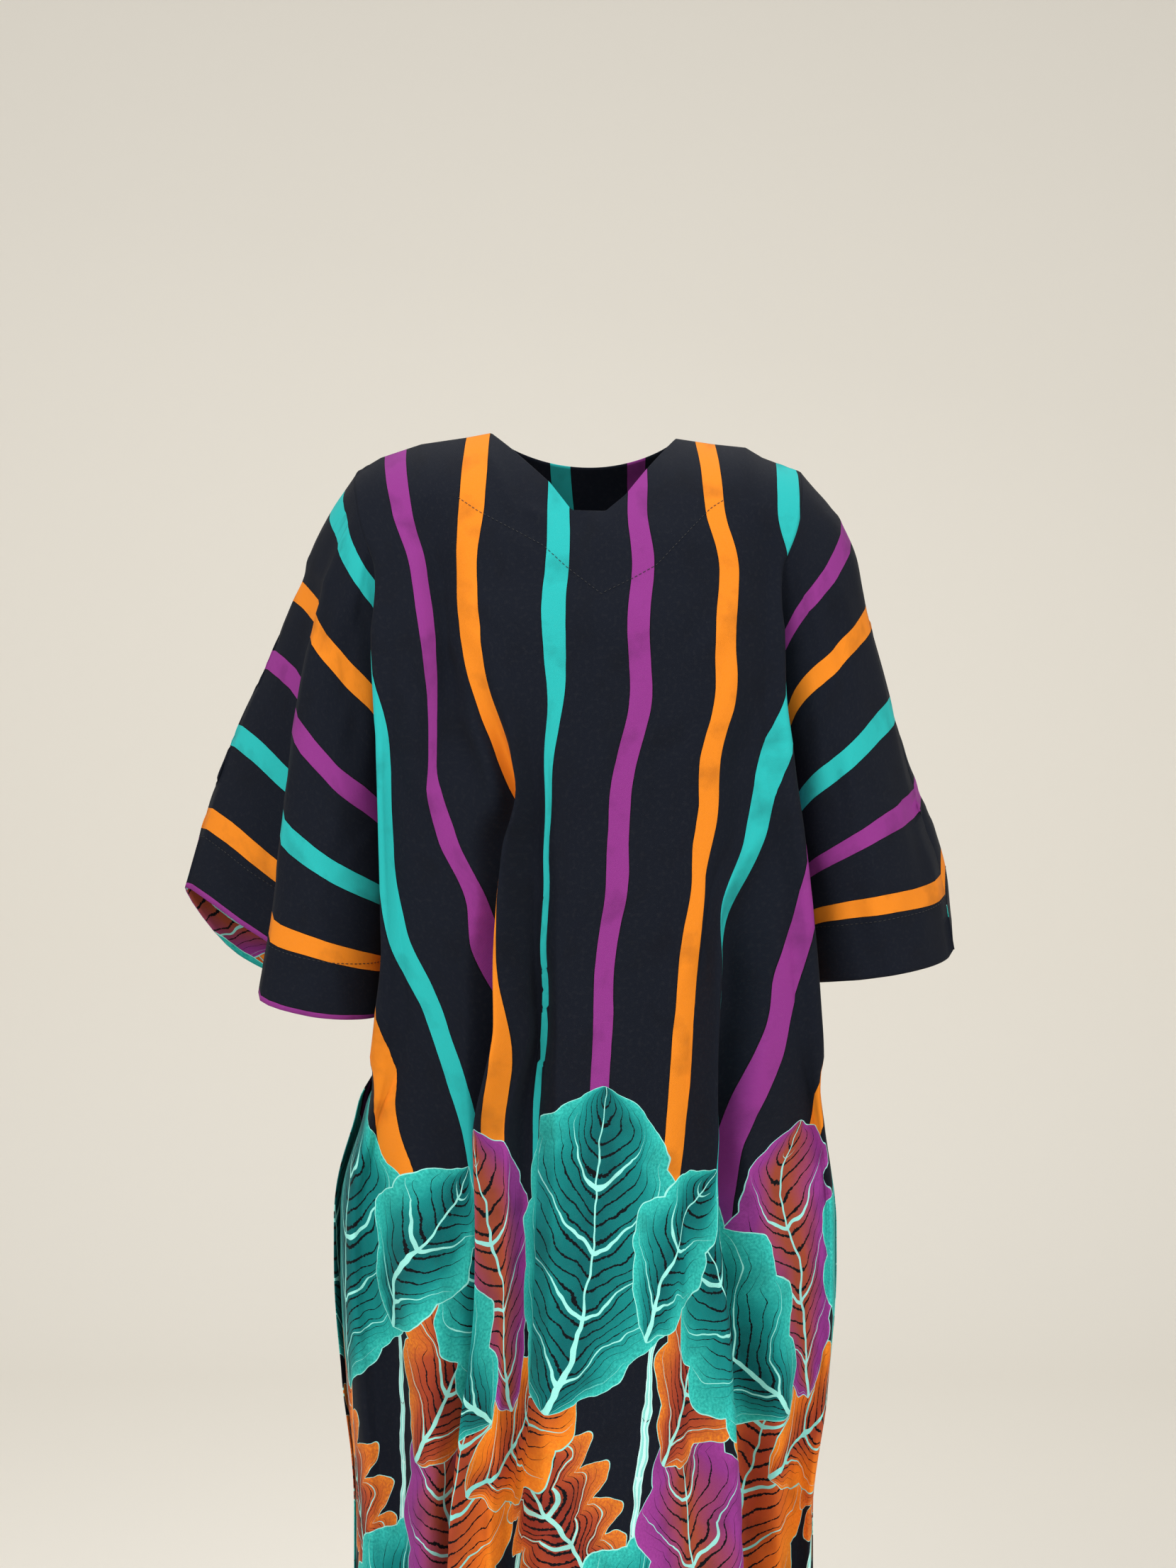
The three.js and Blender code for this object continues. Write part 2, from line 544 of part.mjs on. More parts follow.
function sleeveSurface(guides, hand) {
  const entries = armholeEdge(hand);
  const armhole = entries.map(({ point }) => point);
  const places = armhole.map((point) => guidePlace(guides, point));
  const rings = SLEEVE_STATIONS.map((_, station) => {
    const points = guides.map((guide) => new THREE.Vector3(...guide.points[station]));
    const curve = new THREE.CatmullRomCurve3(points, true, "centripetal");
    return places.map((place) => curve.getPoint(place));
  });
  const fullness = hand === LEFT ? LEFT_CROWN : RIGHT_CROWN;
  const lines = armhole.map((start, j) => {
    const side = start.y < 0 ? FRONT : BACK;
    const tuck = readRow(BODY_SECTIONS, "tuck", start.z);
    const deep = clamp(tuck / 26, 0, 1) * clamp(Math.abs(start.y) / 30, 0, 1);
    const turn = start.clone();
    turn.y -= side * SLEEVE_TURN * deep;
    turn.x += hand * 3 * deep;
    const points = deep > 0.05 ? [start, turn] : [start];
    const crown = clamp((start.z - CROWN_HEIGHT) / CROWN_DEPTH, 0, 1) * fullness;
    if (crown > 0.5) {
      const full = start.clone().add(rings[0][j]).multiplyScalar(0.5);
      points.push(full.add(new THREE.Vector3(hand * crown, 0, crown * 0.5)));
    }
    return new THREE.CatmullRomCurve3([...points, ...rings.map((ring) => ring[j])], false, "centripetal");
  });
  const rows = [];
  for (let i = 0; i <= SLEEVE_ROWS + BAND_ROWS; i += 1) {
    rows.push(lines.map((line, j) => {
      const hidden = clamp(readRow(BODY_SECTIONS, "tuck", armhole[j].z) / HALF_TUCK, 0, 1);
      const isUnderarm = Math.abs(armhole[j].y) < UNDERARM_REACH && armhole[j].z < YOKE_HEIGHT;
      const gap = isUnderarm ? UNDERARM_GAP : lerp(SEAM_GAP, HIDDEN_GAP, hidden);
      const length = line.getLength();
      const above = length - CUFF_BAND;
      const travel = i <= SLEEVE_ROWS ? lerp(gap, above, (i / SLEEVE_ROWS) ** 1.1)
        : above + CUFF_BAND * (i - SLEEVE_ROWS) / BAND_ROWS;
      return line.getPointAt(travel / length);
    }));
  }
  const sleeve = surface(rows, { ring: true, flip: hand === LEFT });
  entries.forEach(({ shared }, j) => {
    const mitre = sleeve.normals[0][j].clone();
    for (const normal of shared) mitre.add(normal);
    mitre.normalize();
    sleeve.normals[0][j].copy(mitre);
    for (const normal of shared) normal.copy(mitre);
  });
  return sleeve;
}

const FRONT_HEIGHTS = [YOKE_HEIGHT, -190, -230, -270, -305, UNDERARM_HEIGHT, -370, -405, -440, -475, -516,
  -560, -592, -625, -658, -690, -740, -820, -920, -1040, -1170, HEM_HEIGHT];
const BACK_HEIGHTS = [YOKE_HEIGHT, -195, -240, -290, UNDERARM_HEIGHT, -400, -460, -516, -560, -592, -625,
  -658, -690, -790, -930, -1110, HEM_HEIGHT];

const neckTop = (across) => (across > NECK_RIGHT_POINT.across && across < NECK_LEFT_POINT.across
  ? polyline(NECK_V, across) : shoulderHeight(across));
function backTop(across) {
  const width = NECK_LEFT_POINT.across - NECK_RIGHT_POINT.across;
  const place = (across - NECK_RIGHT_POINT.across) / width;
  if (place <= 0 || place >= 1) return shoulderHeight(across);
  return shoulderHeight(across) - BACK_NECK_DROP * Math.sin(Math.PI * place) ** 0.7;
}

// The share of the front's width at which a place across comes to the top edge.
function shareOfAcross(pointAt, across) {
  let [low, high] = [0, 1];
  for (let i = 0; i < 24; i += 1) {
    const middle = (low + high) / 2;
    if (pointAt(middle, -20).x < across) low = middle;
    else high = middle;
  }
  return (low + high) / 2;
}

const frontCorners = [HOOK_SHARE, ...[NECK_V[0], NECK_V[3], NECK_V[4], NECK_V[7]]
  .map((corner) => shareOfAcross(frontPoint, corner.across)), 1 - HOOK_SHARE];
const frontColumns = panelColumns(frontCorners, [10, 7, 3, 6, 10]);
const frontRows = panelRows(FRONT_HEIGHTS, frontColumns, FRONT, neckTop);
openPocket(frontRows, FRONT);
const frontPanel = surface(frontRows, { side: FRONT });

const backCorners = [HOOK_SHARE, ...[NECK_RIGHT_POINT, NECK_LEFT_POINT]
  .map((corner) => shareOfAcross(backPoint, corner.across)), 1 - HOOK_SHARE];
const backColumns = panelColumns(backCorners, [8, 10, 8]);
const backRows = panelRows(BACK_HEIGHTS, backColumns, BACK, backTop);
openPocket(backRows, BACK);
const backPanel = surface(backRows, { flip: true, side: BACK });

// The cuff's turned facing lies inside the sleeve's last band.
function cuffFacing(sleeve) {
  const start = sleeve.rows.length - 1 - BAND_ROWS;
  const normals = sleeve.normals.slice(start);
  const rows = sleeve.rows.slice(start).map((row, i) => row.map((point, j) =>
    point.clone().addScaledVector(normals[i][j], -(CLOTH_WALL + SEAM_GAP))));
  return { ...sleeve, rows, normals };
}

// A pocket bag: its mouth fills the parted side seam, and it hangs inwards and down to a sewn edge.
function pocketBag(hand) {
  const middle = (POCKET.top + POCKET.bottom) / 2;
  const reach = (POCKET.top - POCKET.bottom) / 2 - 4;
  const rows = [];
  for (let i = 0; i <= POCKET_RINGS; i += 1) {
    const inward = i / POCKET_RINGS;
    const width = i === POCKET_RINGS ? POCKET.sewnEdge
      : lerp(POCKET.mouthGap / 2 - 1, POCKET.fullness, Math.sin(Math.PI * inward));
    const tall = reach * lerp(1, 0.8, inward ** 2);
    rows.push(Array.from({ length: POCKET_AROUND }, (_, k) => {
      const angle = 2 * Math.PI * k / POCKET_AROUND;
      const height = middle - POCKET.drop * inward + tall * Math.cos(angle);
      const mouthHeight = middle + reach * Math.cos(angle);
      const seam = tuckedEdge(FRONT, hand, mouthHeight);
      const across = seam.x - hand * (POCKET.inset + POCKET.depth * inward);
      return new THREE.Vector3(across, width * Math.sin(angle), height);
    }));
  }
  return surface(rows, { ring: true, flip: hand === RIGHT });
}

const leftSleeve = sleeveSurface(SLEEVES.sleeve_left, LEFT);
const rightSleeve = sleeveSurface(SLEEVES.sleeve_right, RIGHT);

const dress = new THREE.Group();
dress.add(clothMesh("front", clothWall(frontPanel, CLOTH_WALL), "#1c1f26"));
dress.add(clothMesh("back", clothWall(backPanel, CLOTH_WALL), "#23262e"));
dress.add(clothMesh("sleeve_left", clothWall(leftSleeve, CLOTH_WALL), "#2fc4bd"));
dress.add(clothMesh("sleeve_right", clothWall(rightSleeve, CLOTH_WALL), "#f58b1f"));
dress.add(clothMesh("cuff_facing_left", clothWall(cuffFacing(leftSleeve), FACING_WALL), "#a8472c"));
dress.add(clothMesh("cuff_facing_right", clothWall(cuffFacing(rightSleeve), FACING_WALL), "#a8472c"));
dress.add(clothMesh("pocket_left", clothWall(pocketBag(LEFT), FACING_WALL), "#9a3d93"));
dress.add(clothMesh("pocket_right", clothWall(pocketBag(RIGHT), FACING_WALL), "#9a3d93"));

export default dress;
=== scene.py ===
"""A wide striped wax-print kaftan dress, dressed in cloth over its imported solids.

Metres in Blender, millimetres in the tables; +Z up, the front faces -Y and the origin is where the
shoulders carry the dress. Left and right are as seen from the front: the left side is at -X.
"""
import logging
import math
import random
from dataclasses import dataclass
from enum import Enum

import bmesh
import bpy
import numpy as np
from mathutils import Matrix, Vector
from mathutils.bvhtree import BVHTree


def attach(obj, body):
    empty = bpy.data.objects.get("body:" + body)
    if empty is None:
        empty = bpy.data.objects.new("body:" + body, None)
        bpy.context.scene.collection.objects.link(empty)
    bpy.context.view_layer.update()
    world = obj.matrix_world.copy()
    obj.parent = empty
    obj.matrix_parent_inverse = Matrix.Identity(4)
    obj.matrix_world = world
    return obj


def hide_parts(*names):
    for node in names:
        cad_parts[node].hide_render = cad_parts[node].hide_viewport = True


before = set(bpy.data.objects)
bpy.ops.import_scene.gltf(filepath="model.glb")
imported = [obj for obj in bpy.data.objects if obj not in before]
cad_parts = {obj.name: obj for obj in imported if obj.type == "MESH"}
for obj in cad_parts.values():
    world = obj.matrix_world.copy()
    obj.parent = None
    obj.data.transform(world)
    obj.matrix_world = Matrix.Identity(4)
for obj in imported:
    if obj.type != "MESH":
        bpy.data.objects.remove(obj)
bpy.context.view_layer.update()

LOG = logging.getLogger("kaftan")
MM = 0.001
Points = np.ndarray

# Heights from the shoulders, in mm; NEAR_TOP is where a search for the top edge starts.
HEM_HEIGHT = -1300
YOKE_HEIGHT = -150
UNDERARM_HEIGHT = -335
NEAR_TOP = -20.0
# The cut, in mm: how far apart the stripes are and how far the side seams lie from its middle.
STRIPE_PITCH = 77
SIDE_SEAM_CUT = 450
# The share of a panel's width, at each edge, that hooks in behind the drape fold, and the tuck that
# takes all of it.
HOOK_SHARE = 0.05
FULL_TUCK = 20
# Over what drop the cloth turns down from the shoulder line, in the middle and at the shoulders.
CHEST_TURN = 34
SHOULDER_TURN = 15
BACK_NECK_DROP = 24
CUFF_BAND = 48
SEAM_GAP = 0.3
# How thick the shells are: the panels and sleeves, and the single cloth of facings and pockets.
CLOTH_THICKNESS = 0.9 * MM
SINGLE_THICKNESS = 0.7 * MM
# Over what height above the underarm the side edges part to the armhole, and how much deeper than
# wide they tuck in there.
ARMHOLE_RISE = 110
TUCK_DEPTH = 1.15


class Side(Enum):
    """Which way a cloth faces."""

    FRONT = -1
    BACK = 1


class Hand(Enum):
    """Which side of the dress, as seen from the front."""

    LEFT = -1
    RIGHT = 1


def lerp(start: Points, end: Points, share: Points) -> Points:
    """Goes from start to end by share."""
    return start + (end - start) * share


def ease(share: Points) -> Points:
    """Smooth step from 0 to 1."""
    return share * share * (3 - 2 * share)


def smooth(ats: Points, values: Points, at: Points) -> Points:
    """Reads unevenly spaced values smoothly.

    Args:
        ats: where the values are, rising or falling.
        values: one value for each place, or one column for each point asked for.
        at: the places asked for.

    Returns:
        The value at each place.
    """
    xs, at = np.asarray(ats, float), np.atleast_1d(np.asarray(at, float)).ravel()
    if xs[-1] < xs[0]:
        xs, at = -xs, -at
    values = np.asarray(values, float)
    if values.ndim == 1:
        values = np.repeat(values[:, None], at.size, axis=1)
    slopes = np.diff(values, axis=0) / np.diff(xs)[:, None]
    before, after = slopes[:-1], slopes[1:]
    total = np.where(before * after > 0, before + after, 1.0)
    inner = np.where(before * after > 0, 2 * before * after / total, 0.0)
    tangents = np.vstack([slopes[:1], inner, slopes[-1:]])
    i = np.clip(np.searchsorted(xs, at) - 1, 0, len(xs) - 2)
    column = np.arange(at.size)
    span = xs[i + 1] - xs[i]
    t = np.clip((at - xs[i]) / span, 0, 1)
    near = values[i, column] + t * span * tangents[i, column]
    far = values[i + 1, column] - (1 - t) * span * tangents[i + 1, column]
    return lerp(near, far, ease(t))


class Table:
    """A table of numbers with named columns, read along its first one."""

    def __init__(self, text: str) -> None:
        """Reads the names from the first line, and a row from each other one; a dash is no value."""
        names, *lines = text.strip().splitlines()
        self.names: list[str] = names.split()
        self.rows: list[dict[str, float]] = [
            {name: float(word) for name, word in zip(self.names, line.split()) if word != "-"}
            for line in lines
        ]
        self.ats: list[float] = [row[self.names[0]] for row in self.rows]

    def read(self, column: str, at: Points) -> Points:
        """Reads one column smoothly at the places given."""
        return smooth(self.ats, [row[column] for row in self.rows], at)

    def trace(self, across: Points) -> Points:
        """Reads the second column straight from point to point."""
        return np.interp(across, self.ats, [row[self.names[1]] for row in self.rows])


# Where each stripe line of the front lies across the body at each height, in mm. cutLeft and
# cutRight say which place of the flat cut has come to the drape edges left and right.
FRONT_SECTIONS = Table("""
height cutLeft left l4 l3 l2 l1 l0 r0 r1 r2 r3 r4 right cutRight
5 -250 -214 - - -174 -97 -25 44 103 179 - - 192 207
-73 -250 -199 - - -160 -100 -25 42 109 173 - - 184 203
-130 -252 -187 - - -143 -103 -26 46 120 - - - 171 184
-203 -262 -184 - - -133 -96 -26 43 116 - - - 168 183
-281 -283 -178 - - -131 -73 -28 34 104 158 - - 174 208
-352 -287 -175 - -169 -119 -61 -29 25 98 140 - - 183 250
-417 -294 -174 - -164 -93 -60 -30 20 91 112 184 - 190 283
-506 -340 -181 - -128 -82 -53 -31 12 82 106 162 - 198 325
-601 -400 -200 -172 -99 -84 -70 -34 6 74 98 127 196 206 385
-706 -450 -220 -158 -93 -80 -69 -38 5 65 92 126 180 219 450
-835 -450 -215 -146 -105 -92 -76 -43 3 60 92 130 172 213 450
-958 -450 -206 -148 -116 -102 -84 -48 0 56 92 130 166 198 450
-1300 -450 -208 -158 -126 -110 -90 -55 -2 56 94 132 170 208 450
""")
# The place of each stripe line on the cut, in pitches from its middle.
STRIPE_LINES = {"l4": -4.5, "l3": -3.5, "l2": -2.5, "l1": -1.5, "l0": -0.5,
                "r0": 0.5, "r1": 1.5, "r2": 2.5, "r3": 3.5, "r4": 4.5}

# How far the middle and the drape edges stand forward and back, and how far the side edges tuck in.
BODY_SECTIONS = Table("""
height front frontEdge back backEdge tuck
5 60 24 50 24 0
-73 96 62 84 60 0
-130 116 84 98 78 6
-203 132 98 104 92 26
-281 134 104 104 96 32
-352 130 106 102 97 34
-417 130 106 104 98 34
-516 134 98 112 94 33
-556 137 88 118 86 12
-601 140 78 124 78 1
-706 146 66 134 66 0
-835 152 66 140 66 0
-958 158 68 144 68 0
-1300 172 76 152 76 0
""")

# The folds that hang down the front. A lap turns under itself, and a trough is a soft hollow.
FRONT_LAPS = (
    Table("""
height cut width lap stand
-150 -110 70 0 0
-230 -104 70 2 6
-300 -103 68 8 14
-360 -126 92 16 20
-420 -139 110 19 22
-506 -166 132 21 25
-601 -192 152 18 28
-835 -212 165 18 30
-1300 -222 170 19 32
"""),
    Table("""
height cut width lap stand
-340 205 80 0 0
-417 196 100 5 -13
-506 196 130 12 -22
-601 210 148 15 -27
-706 236 152 16 -28
-835 252 155 17 -29
-958 262 155 17 -30
-1300 266 160 18 -31
"""),
    Table("""
height cut width lap stand
-560 -350 90 0 0
-680 -355 110 3 12
-835 -350 120 4 16
-1300 -345 130 5 18
"""),
)
# Cloth that lies hidden in the front's two sharpest folds, the narrow pleat beside the middle stripe
# and the left lap: where on the cut, how much of it, and how far off the cloth lies plain again.
FRONT_HIDDEN = (
    Table("""
height cut hidden reach
-170 -49 0 75
-214 -49 3 75
-265 -49 10.6 75
-316 -49.5 14 75
-417 -52 24 75
-525 -56 34 75
-600 -58 38 75
-1300 -58 38 75
"""),
    Table("""
height cut hidden reach
-300 -112 0 50
-360 -124 12 60
-420 -137 14 70
-506 -164 27 100
-601 -190 27 125
-706 -200 27 125
-1300 -222 27 125
"""),
)

# The cloth that a hidden stretch turns over in, along the cut.
FOLD_TURN = 9

# How much of the cut each front stripe's own width takes up, against the cloth beside it: under 1
# where the stripe lies flat between folds, and over 1 where a fold has turned part of it away.
STRIPE_SHARE = Table("""
height l4 l3 l2 l1 r0 r1 r2 r3 r4
5 1 1 0.75 0.95 1 1 1 1 1
-130 1 1 0.8 0.72 1 1 0.9 1 1
-203 1 1 0.95 0.7 1 0.95 0.8 1 1
-240 1 1 1.5 0.7 1 0.9 0.65 1 1
-266 1 1 1.85 0.75 1 0.88 0.6 1 1
-290 1 1 1.8 0.8 1 0.85 0.55 1 1
-316 1 1 1 0.9 1 0.8 0.55 1 1
-352 1 1 0.9 1 1 0.8 0.55 0.9 1
-417 1 0.85 0.9 1 1 0.56 0.55 0.78 1
-506 0.7 0.8 0.9 1 0.95 0.5 0.6 0.75 1
-601 0.6 0.8 0.9 0.9 0.95 0.5 1 0.75 0.8
-700 0.6 0.8 0.9 0.9 0.95 0.5 1 0.75 0.8
-760 1 1 1 1 1 1 1 1 1
-1300 1 1 1 1 1 1 1 1 1
""")
FRONT_TROUGHS = (
    Table("""
height cut width sink
-230 -70 60 0
-417 -68 84 14
-601 -66 92 24
-1300 -64 96 30
"""),
    Table("""
height cut width sink
-60 -158 90 0
-150 -158 100 15
-230 -165 100 16
-330 -190 90 4
-420 -230 90 0
"""),
    Table("""
height cut width sink
-70 160 70 0
-150 162 80 10
-300 165 90 9
-420 160 80 0
"""),
    Table("""
height cut width sink
-520 318 90 0
-640 338 90 12
-835 370 90 14
-1300 376 100 18
"""),
)

# The back hangs in broad folds that deepen to the hem.
BACK_SECTIONS = Table("""
height left right lap stand
5 -214 192 0 0
-73 -199 184 0 0
-130 -183 171 0 2
-203 -184 172 1 5
-281 -182 178 3 9
-352 -180 184 5 12
-417 -180 190 6 15
-506 -186 198 8 18
-601 -208 207 10 21
-706 -226 221 11 23
-835 -219 214 12 24
-958 -208 200 13 25
-1300 -208 208 14 27
""")
BACK_FOLD_CUTS = (-330, -165, 10, 175, 335)
BACK_FOLD_WIDTH = 150

SHOULDER_LINE = Table("""
across height
-214 -43
-204 -30
-184 -18
-163 -11
-148 -6
-107 0
-86 4
78 -1
111 -6
140 -9
155 -18
192 -32
""")
NECK_V = Table("""
across height
-86 4
-66 -15
-33 -48
-14 -74
15 -75
32 -60
50 -36
78 -1
""")
NECK_LEFT, NECK_RIGHT = -86, 78

# The stitching that holds the neck facing, as it shows on the front.
NECK_STITCH = Table("""
across height
-112 -62
-94 -75
-38 -106
-18 -125
11 -148
39 -134
58 -123
105 -72
117 -64
""")

# Each sleeve's guide lines run from the armhole to the cuff: the height at which each one leaves the
# armhole, at the front (-1) or the back (1), and its place across, deep and high (x, y, z) at each
# stripe line of the flat cut named in SLEEVE_STATIONS.
SLEEVE_STATIONS = (346, 423, 500, 577, 650)
SLEEVE_GUIDES = {
    Hand.LEFT: Table("""
leaves side x1 y1 z1 x2 y2 z2 x3 y3 z3 x4 y4 z4 x5 y5 z5
-335 -1 -168 0 -346 -170 0 -380 -170 0 -420 -170 0 -465 -170 0 -500
-150 -1 -182 -70 -240 -179 -66 -335 -178 -66 -405 -184 -66 -462 -188 -66 -510
-95 -1 -212 -74 -206 -216 -84 -303 -222 -90 -380 -232 -92 -448 -238 -92 -506
-72 -1 -238 -58 -172 -253 -62 -255 -266 -66 -344 -275 -68 -432 -285 -68 -491
-64 -1 -236 -40 -160 -244 -34 -238 -250 -32 -322 -256 -32 -405 -262 -32 -464
-56 -1 -246 -22 -148 -262 -20 -212 -282 -20 -288 -300 -20 -364 -312 -20 -428
-45 -1 -259 4 -137 -284 8 -196 -315 10 -263 -342 12 -338 -360 12 -400
-70 1 -238 52 -170 -262 66 -240 -286 74 -318 -306 77 -398 -323 77 -464
-150 1 -188 64 -240 -196 72 -330 -206 76 -400 -217 76 -458 -225 75 -505
"""),
    Hand.RIGHT: Table("""
leaves side x1 y1 z1 x2 y2 z2 x3 y3 z3 x4 y4 z4 x5 y5 z5
-335 -1 166 0 -346 174 0 -376 178 0 -410 181 0 -450 182 0 -480
-150 -1 178 -68 -234 184 -70 -322 190 -70 -384 194 -68 -421 200 -66 -479
-90 -1 214 -72 -198 226 -84 -284 240 -90 -352 252 -92 -410 262 -90 -471
-38 -1 245 -32 -163 263 -40 -245 283 -46 -326 304 -48 -401 315 -46 -458
-42 1 242 12 -160 264 16 -232 292 22 -310 316 28 -368 322 30 -424
-74 1 226 58 -180 242 72 -258 262 82 -334 278 86 -398 286 84 -452
-160 1 188 66 -240 194 74 -324 202 78 -390 206 76 -436 210 72 -482
"""),
}

# The main creases pressed into the cloth: from one point (across, height) to another in mm, how wide
# the crease is, and how far it stands, which is negative where it is pressed in.
FRONT_CREASES = Table("""
across height toAcross toHeight width stand
-108 -238 -74 -340 7 4.2
-126 -176 -96 -236 8 2.6
-106 -166 -70 -196 7 -2.6
118 -160 84 -205 8 2.8
128 -192 98 -262 8 2.2
-54 -70 -36 -96 6 2.4
-60 -86 -44 -120 5 -1.6
30 -150 62 -214 9 1.8
-8 -160 -20 -262 10 1.6
60 -246 44 -372 9 -2.2
-150 -290 -118 -372 8 2.6
-158 -210 -132 -268 7 -2.2
150 -236 122 -330 8 2.6
-20 -300 -52 -402 11 1.8
96 -380 70 -492 10 2.2
-40 -430 -12 -548 12 1.6
36 -470 52 -590 11 -1.8
150 -420 176 -530 9 2.4
-160 -430 -150 -560 10 2.2
-110 -560 -128 -700 11 2.0
20 -620 -6 -760 13 1.8
110 -640 122 -790 12 1.8
-30 -780 8 -900 13 -1.6
160 -760 150 -900 11 1.8
-160 -760 -170 -910 11 1.8
-60 -900 -40 -1080 14 1.6
70 -960 60 -1160 14 1.6
-130 -1000 -120 -1200 13 1.6
""")
BACK_CREASES = Table("""
across height toAcross toHeight width stand
-120 -150 -86 -236 9 2.4
112 -146 78 -240 9 2.6
-20 -120 6 -226 11 1.8
-150 -260 -112 -366 9 2.4
146 -262 120 -372 9 2.2
40 -280 20 -404 11 1.8
-60 -330 -72 -470 12 1.8
96 -420 110 -560 11 2.0
-130 -500 -118 -640 11 2.0
10 -540 -12 -700 13 1.8
150 -620 142 -770 11 1.8
-80 -720 -60 -880 13 1.6
70 -800 84 -980 13 1.8
-150 -860 -160 -1040 12 1.6
0 -980 20 -1180 14 1.6
""")
SLEEVE_CREASES = Table("""
across height toAcross toHeight width stand
196 -110 230 -196 8 2.4
206 -150 222 -262 7 -2.2
240 -170 268 -300 9 2.0
212 -250 226 -380 8 2.4
262 -290 292 -400 8 -1.8
236 -330 240 -452 8 2.0
192 -210 196 -330 8 2.2
280 -300 306 -420 9 1.8
""")

# How much fuller the sleeves stand over the shoulder, and from what height of the armhole up.
CROWN = {Hand.LEFT: 6, Hand.RIGHT: 14}
CROWN_HEIGHT = -110
CROWN_DEPTH = 60
# The back's print moves over to meet the front's along the shoulders: from what height up, over what
# drop, and at how many places it is compared.
SHIFT_END = -231
SHIFT_DROP = 210
SHIFT_SAMPLES = 241
# How often a panel's top edge is fitted to the shoulder line, which its own lean moves it along.
TOP_PASSES = 6
# How often the stretch in which a place across is searched for is halved.
SHARE_HALVINGS = 24
# A crease bows to one side by a share of its width, and has a shallower trough beside its ridge: how
# deep, how far off and how broad, as shares of the ridge's own.
CREASE_BOW = 0.8
TROUGH_DEPTH, TROUGH_OFFSET, TROUGH_BREADTH = 0.55, 1.9, 1.3
# The small wrinkles: how far they turn from upright, in radians, and how long, high and wide they are.
WRINKLE_TURN = 0.55
WRINKLE_LENGTH, WRINKLE_STAND, WRINKLE_WIDTH = (40, 150), (0.5, 1.5), (4, 10)
# The narrow pleat lifts the cloth on its one side and sinks it on the other, by a share of what it
# hides and over a reach along the cut.
PLEAT_LIFT, PLEAT_LIFT_REACH = 0.09, 16
PLEAT_SINK, PLEAT_SINK_REACH = 0.08, 11
# A stripe that has turned in under the drape's fold doesn't come out again on the sleeve.
NARROWEST_EDGE = 204


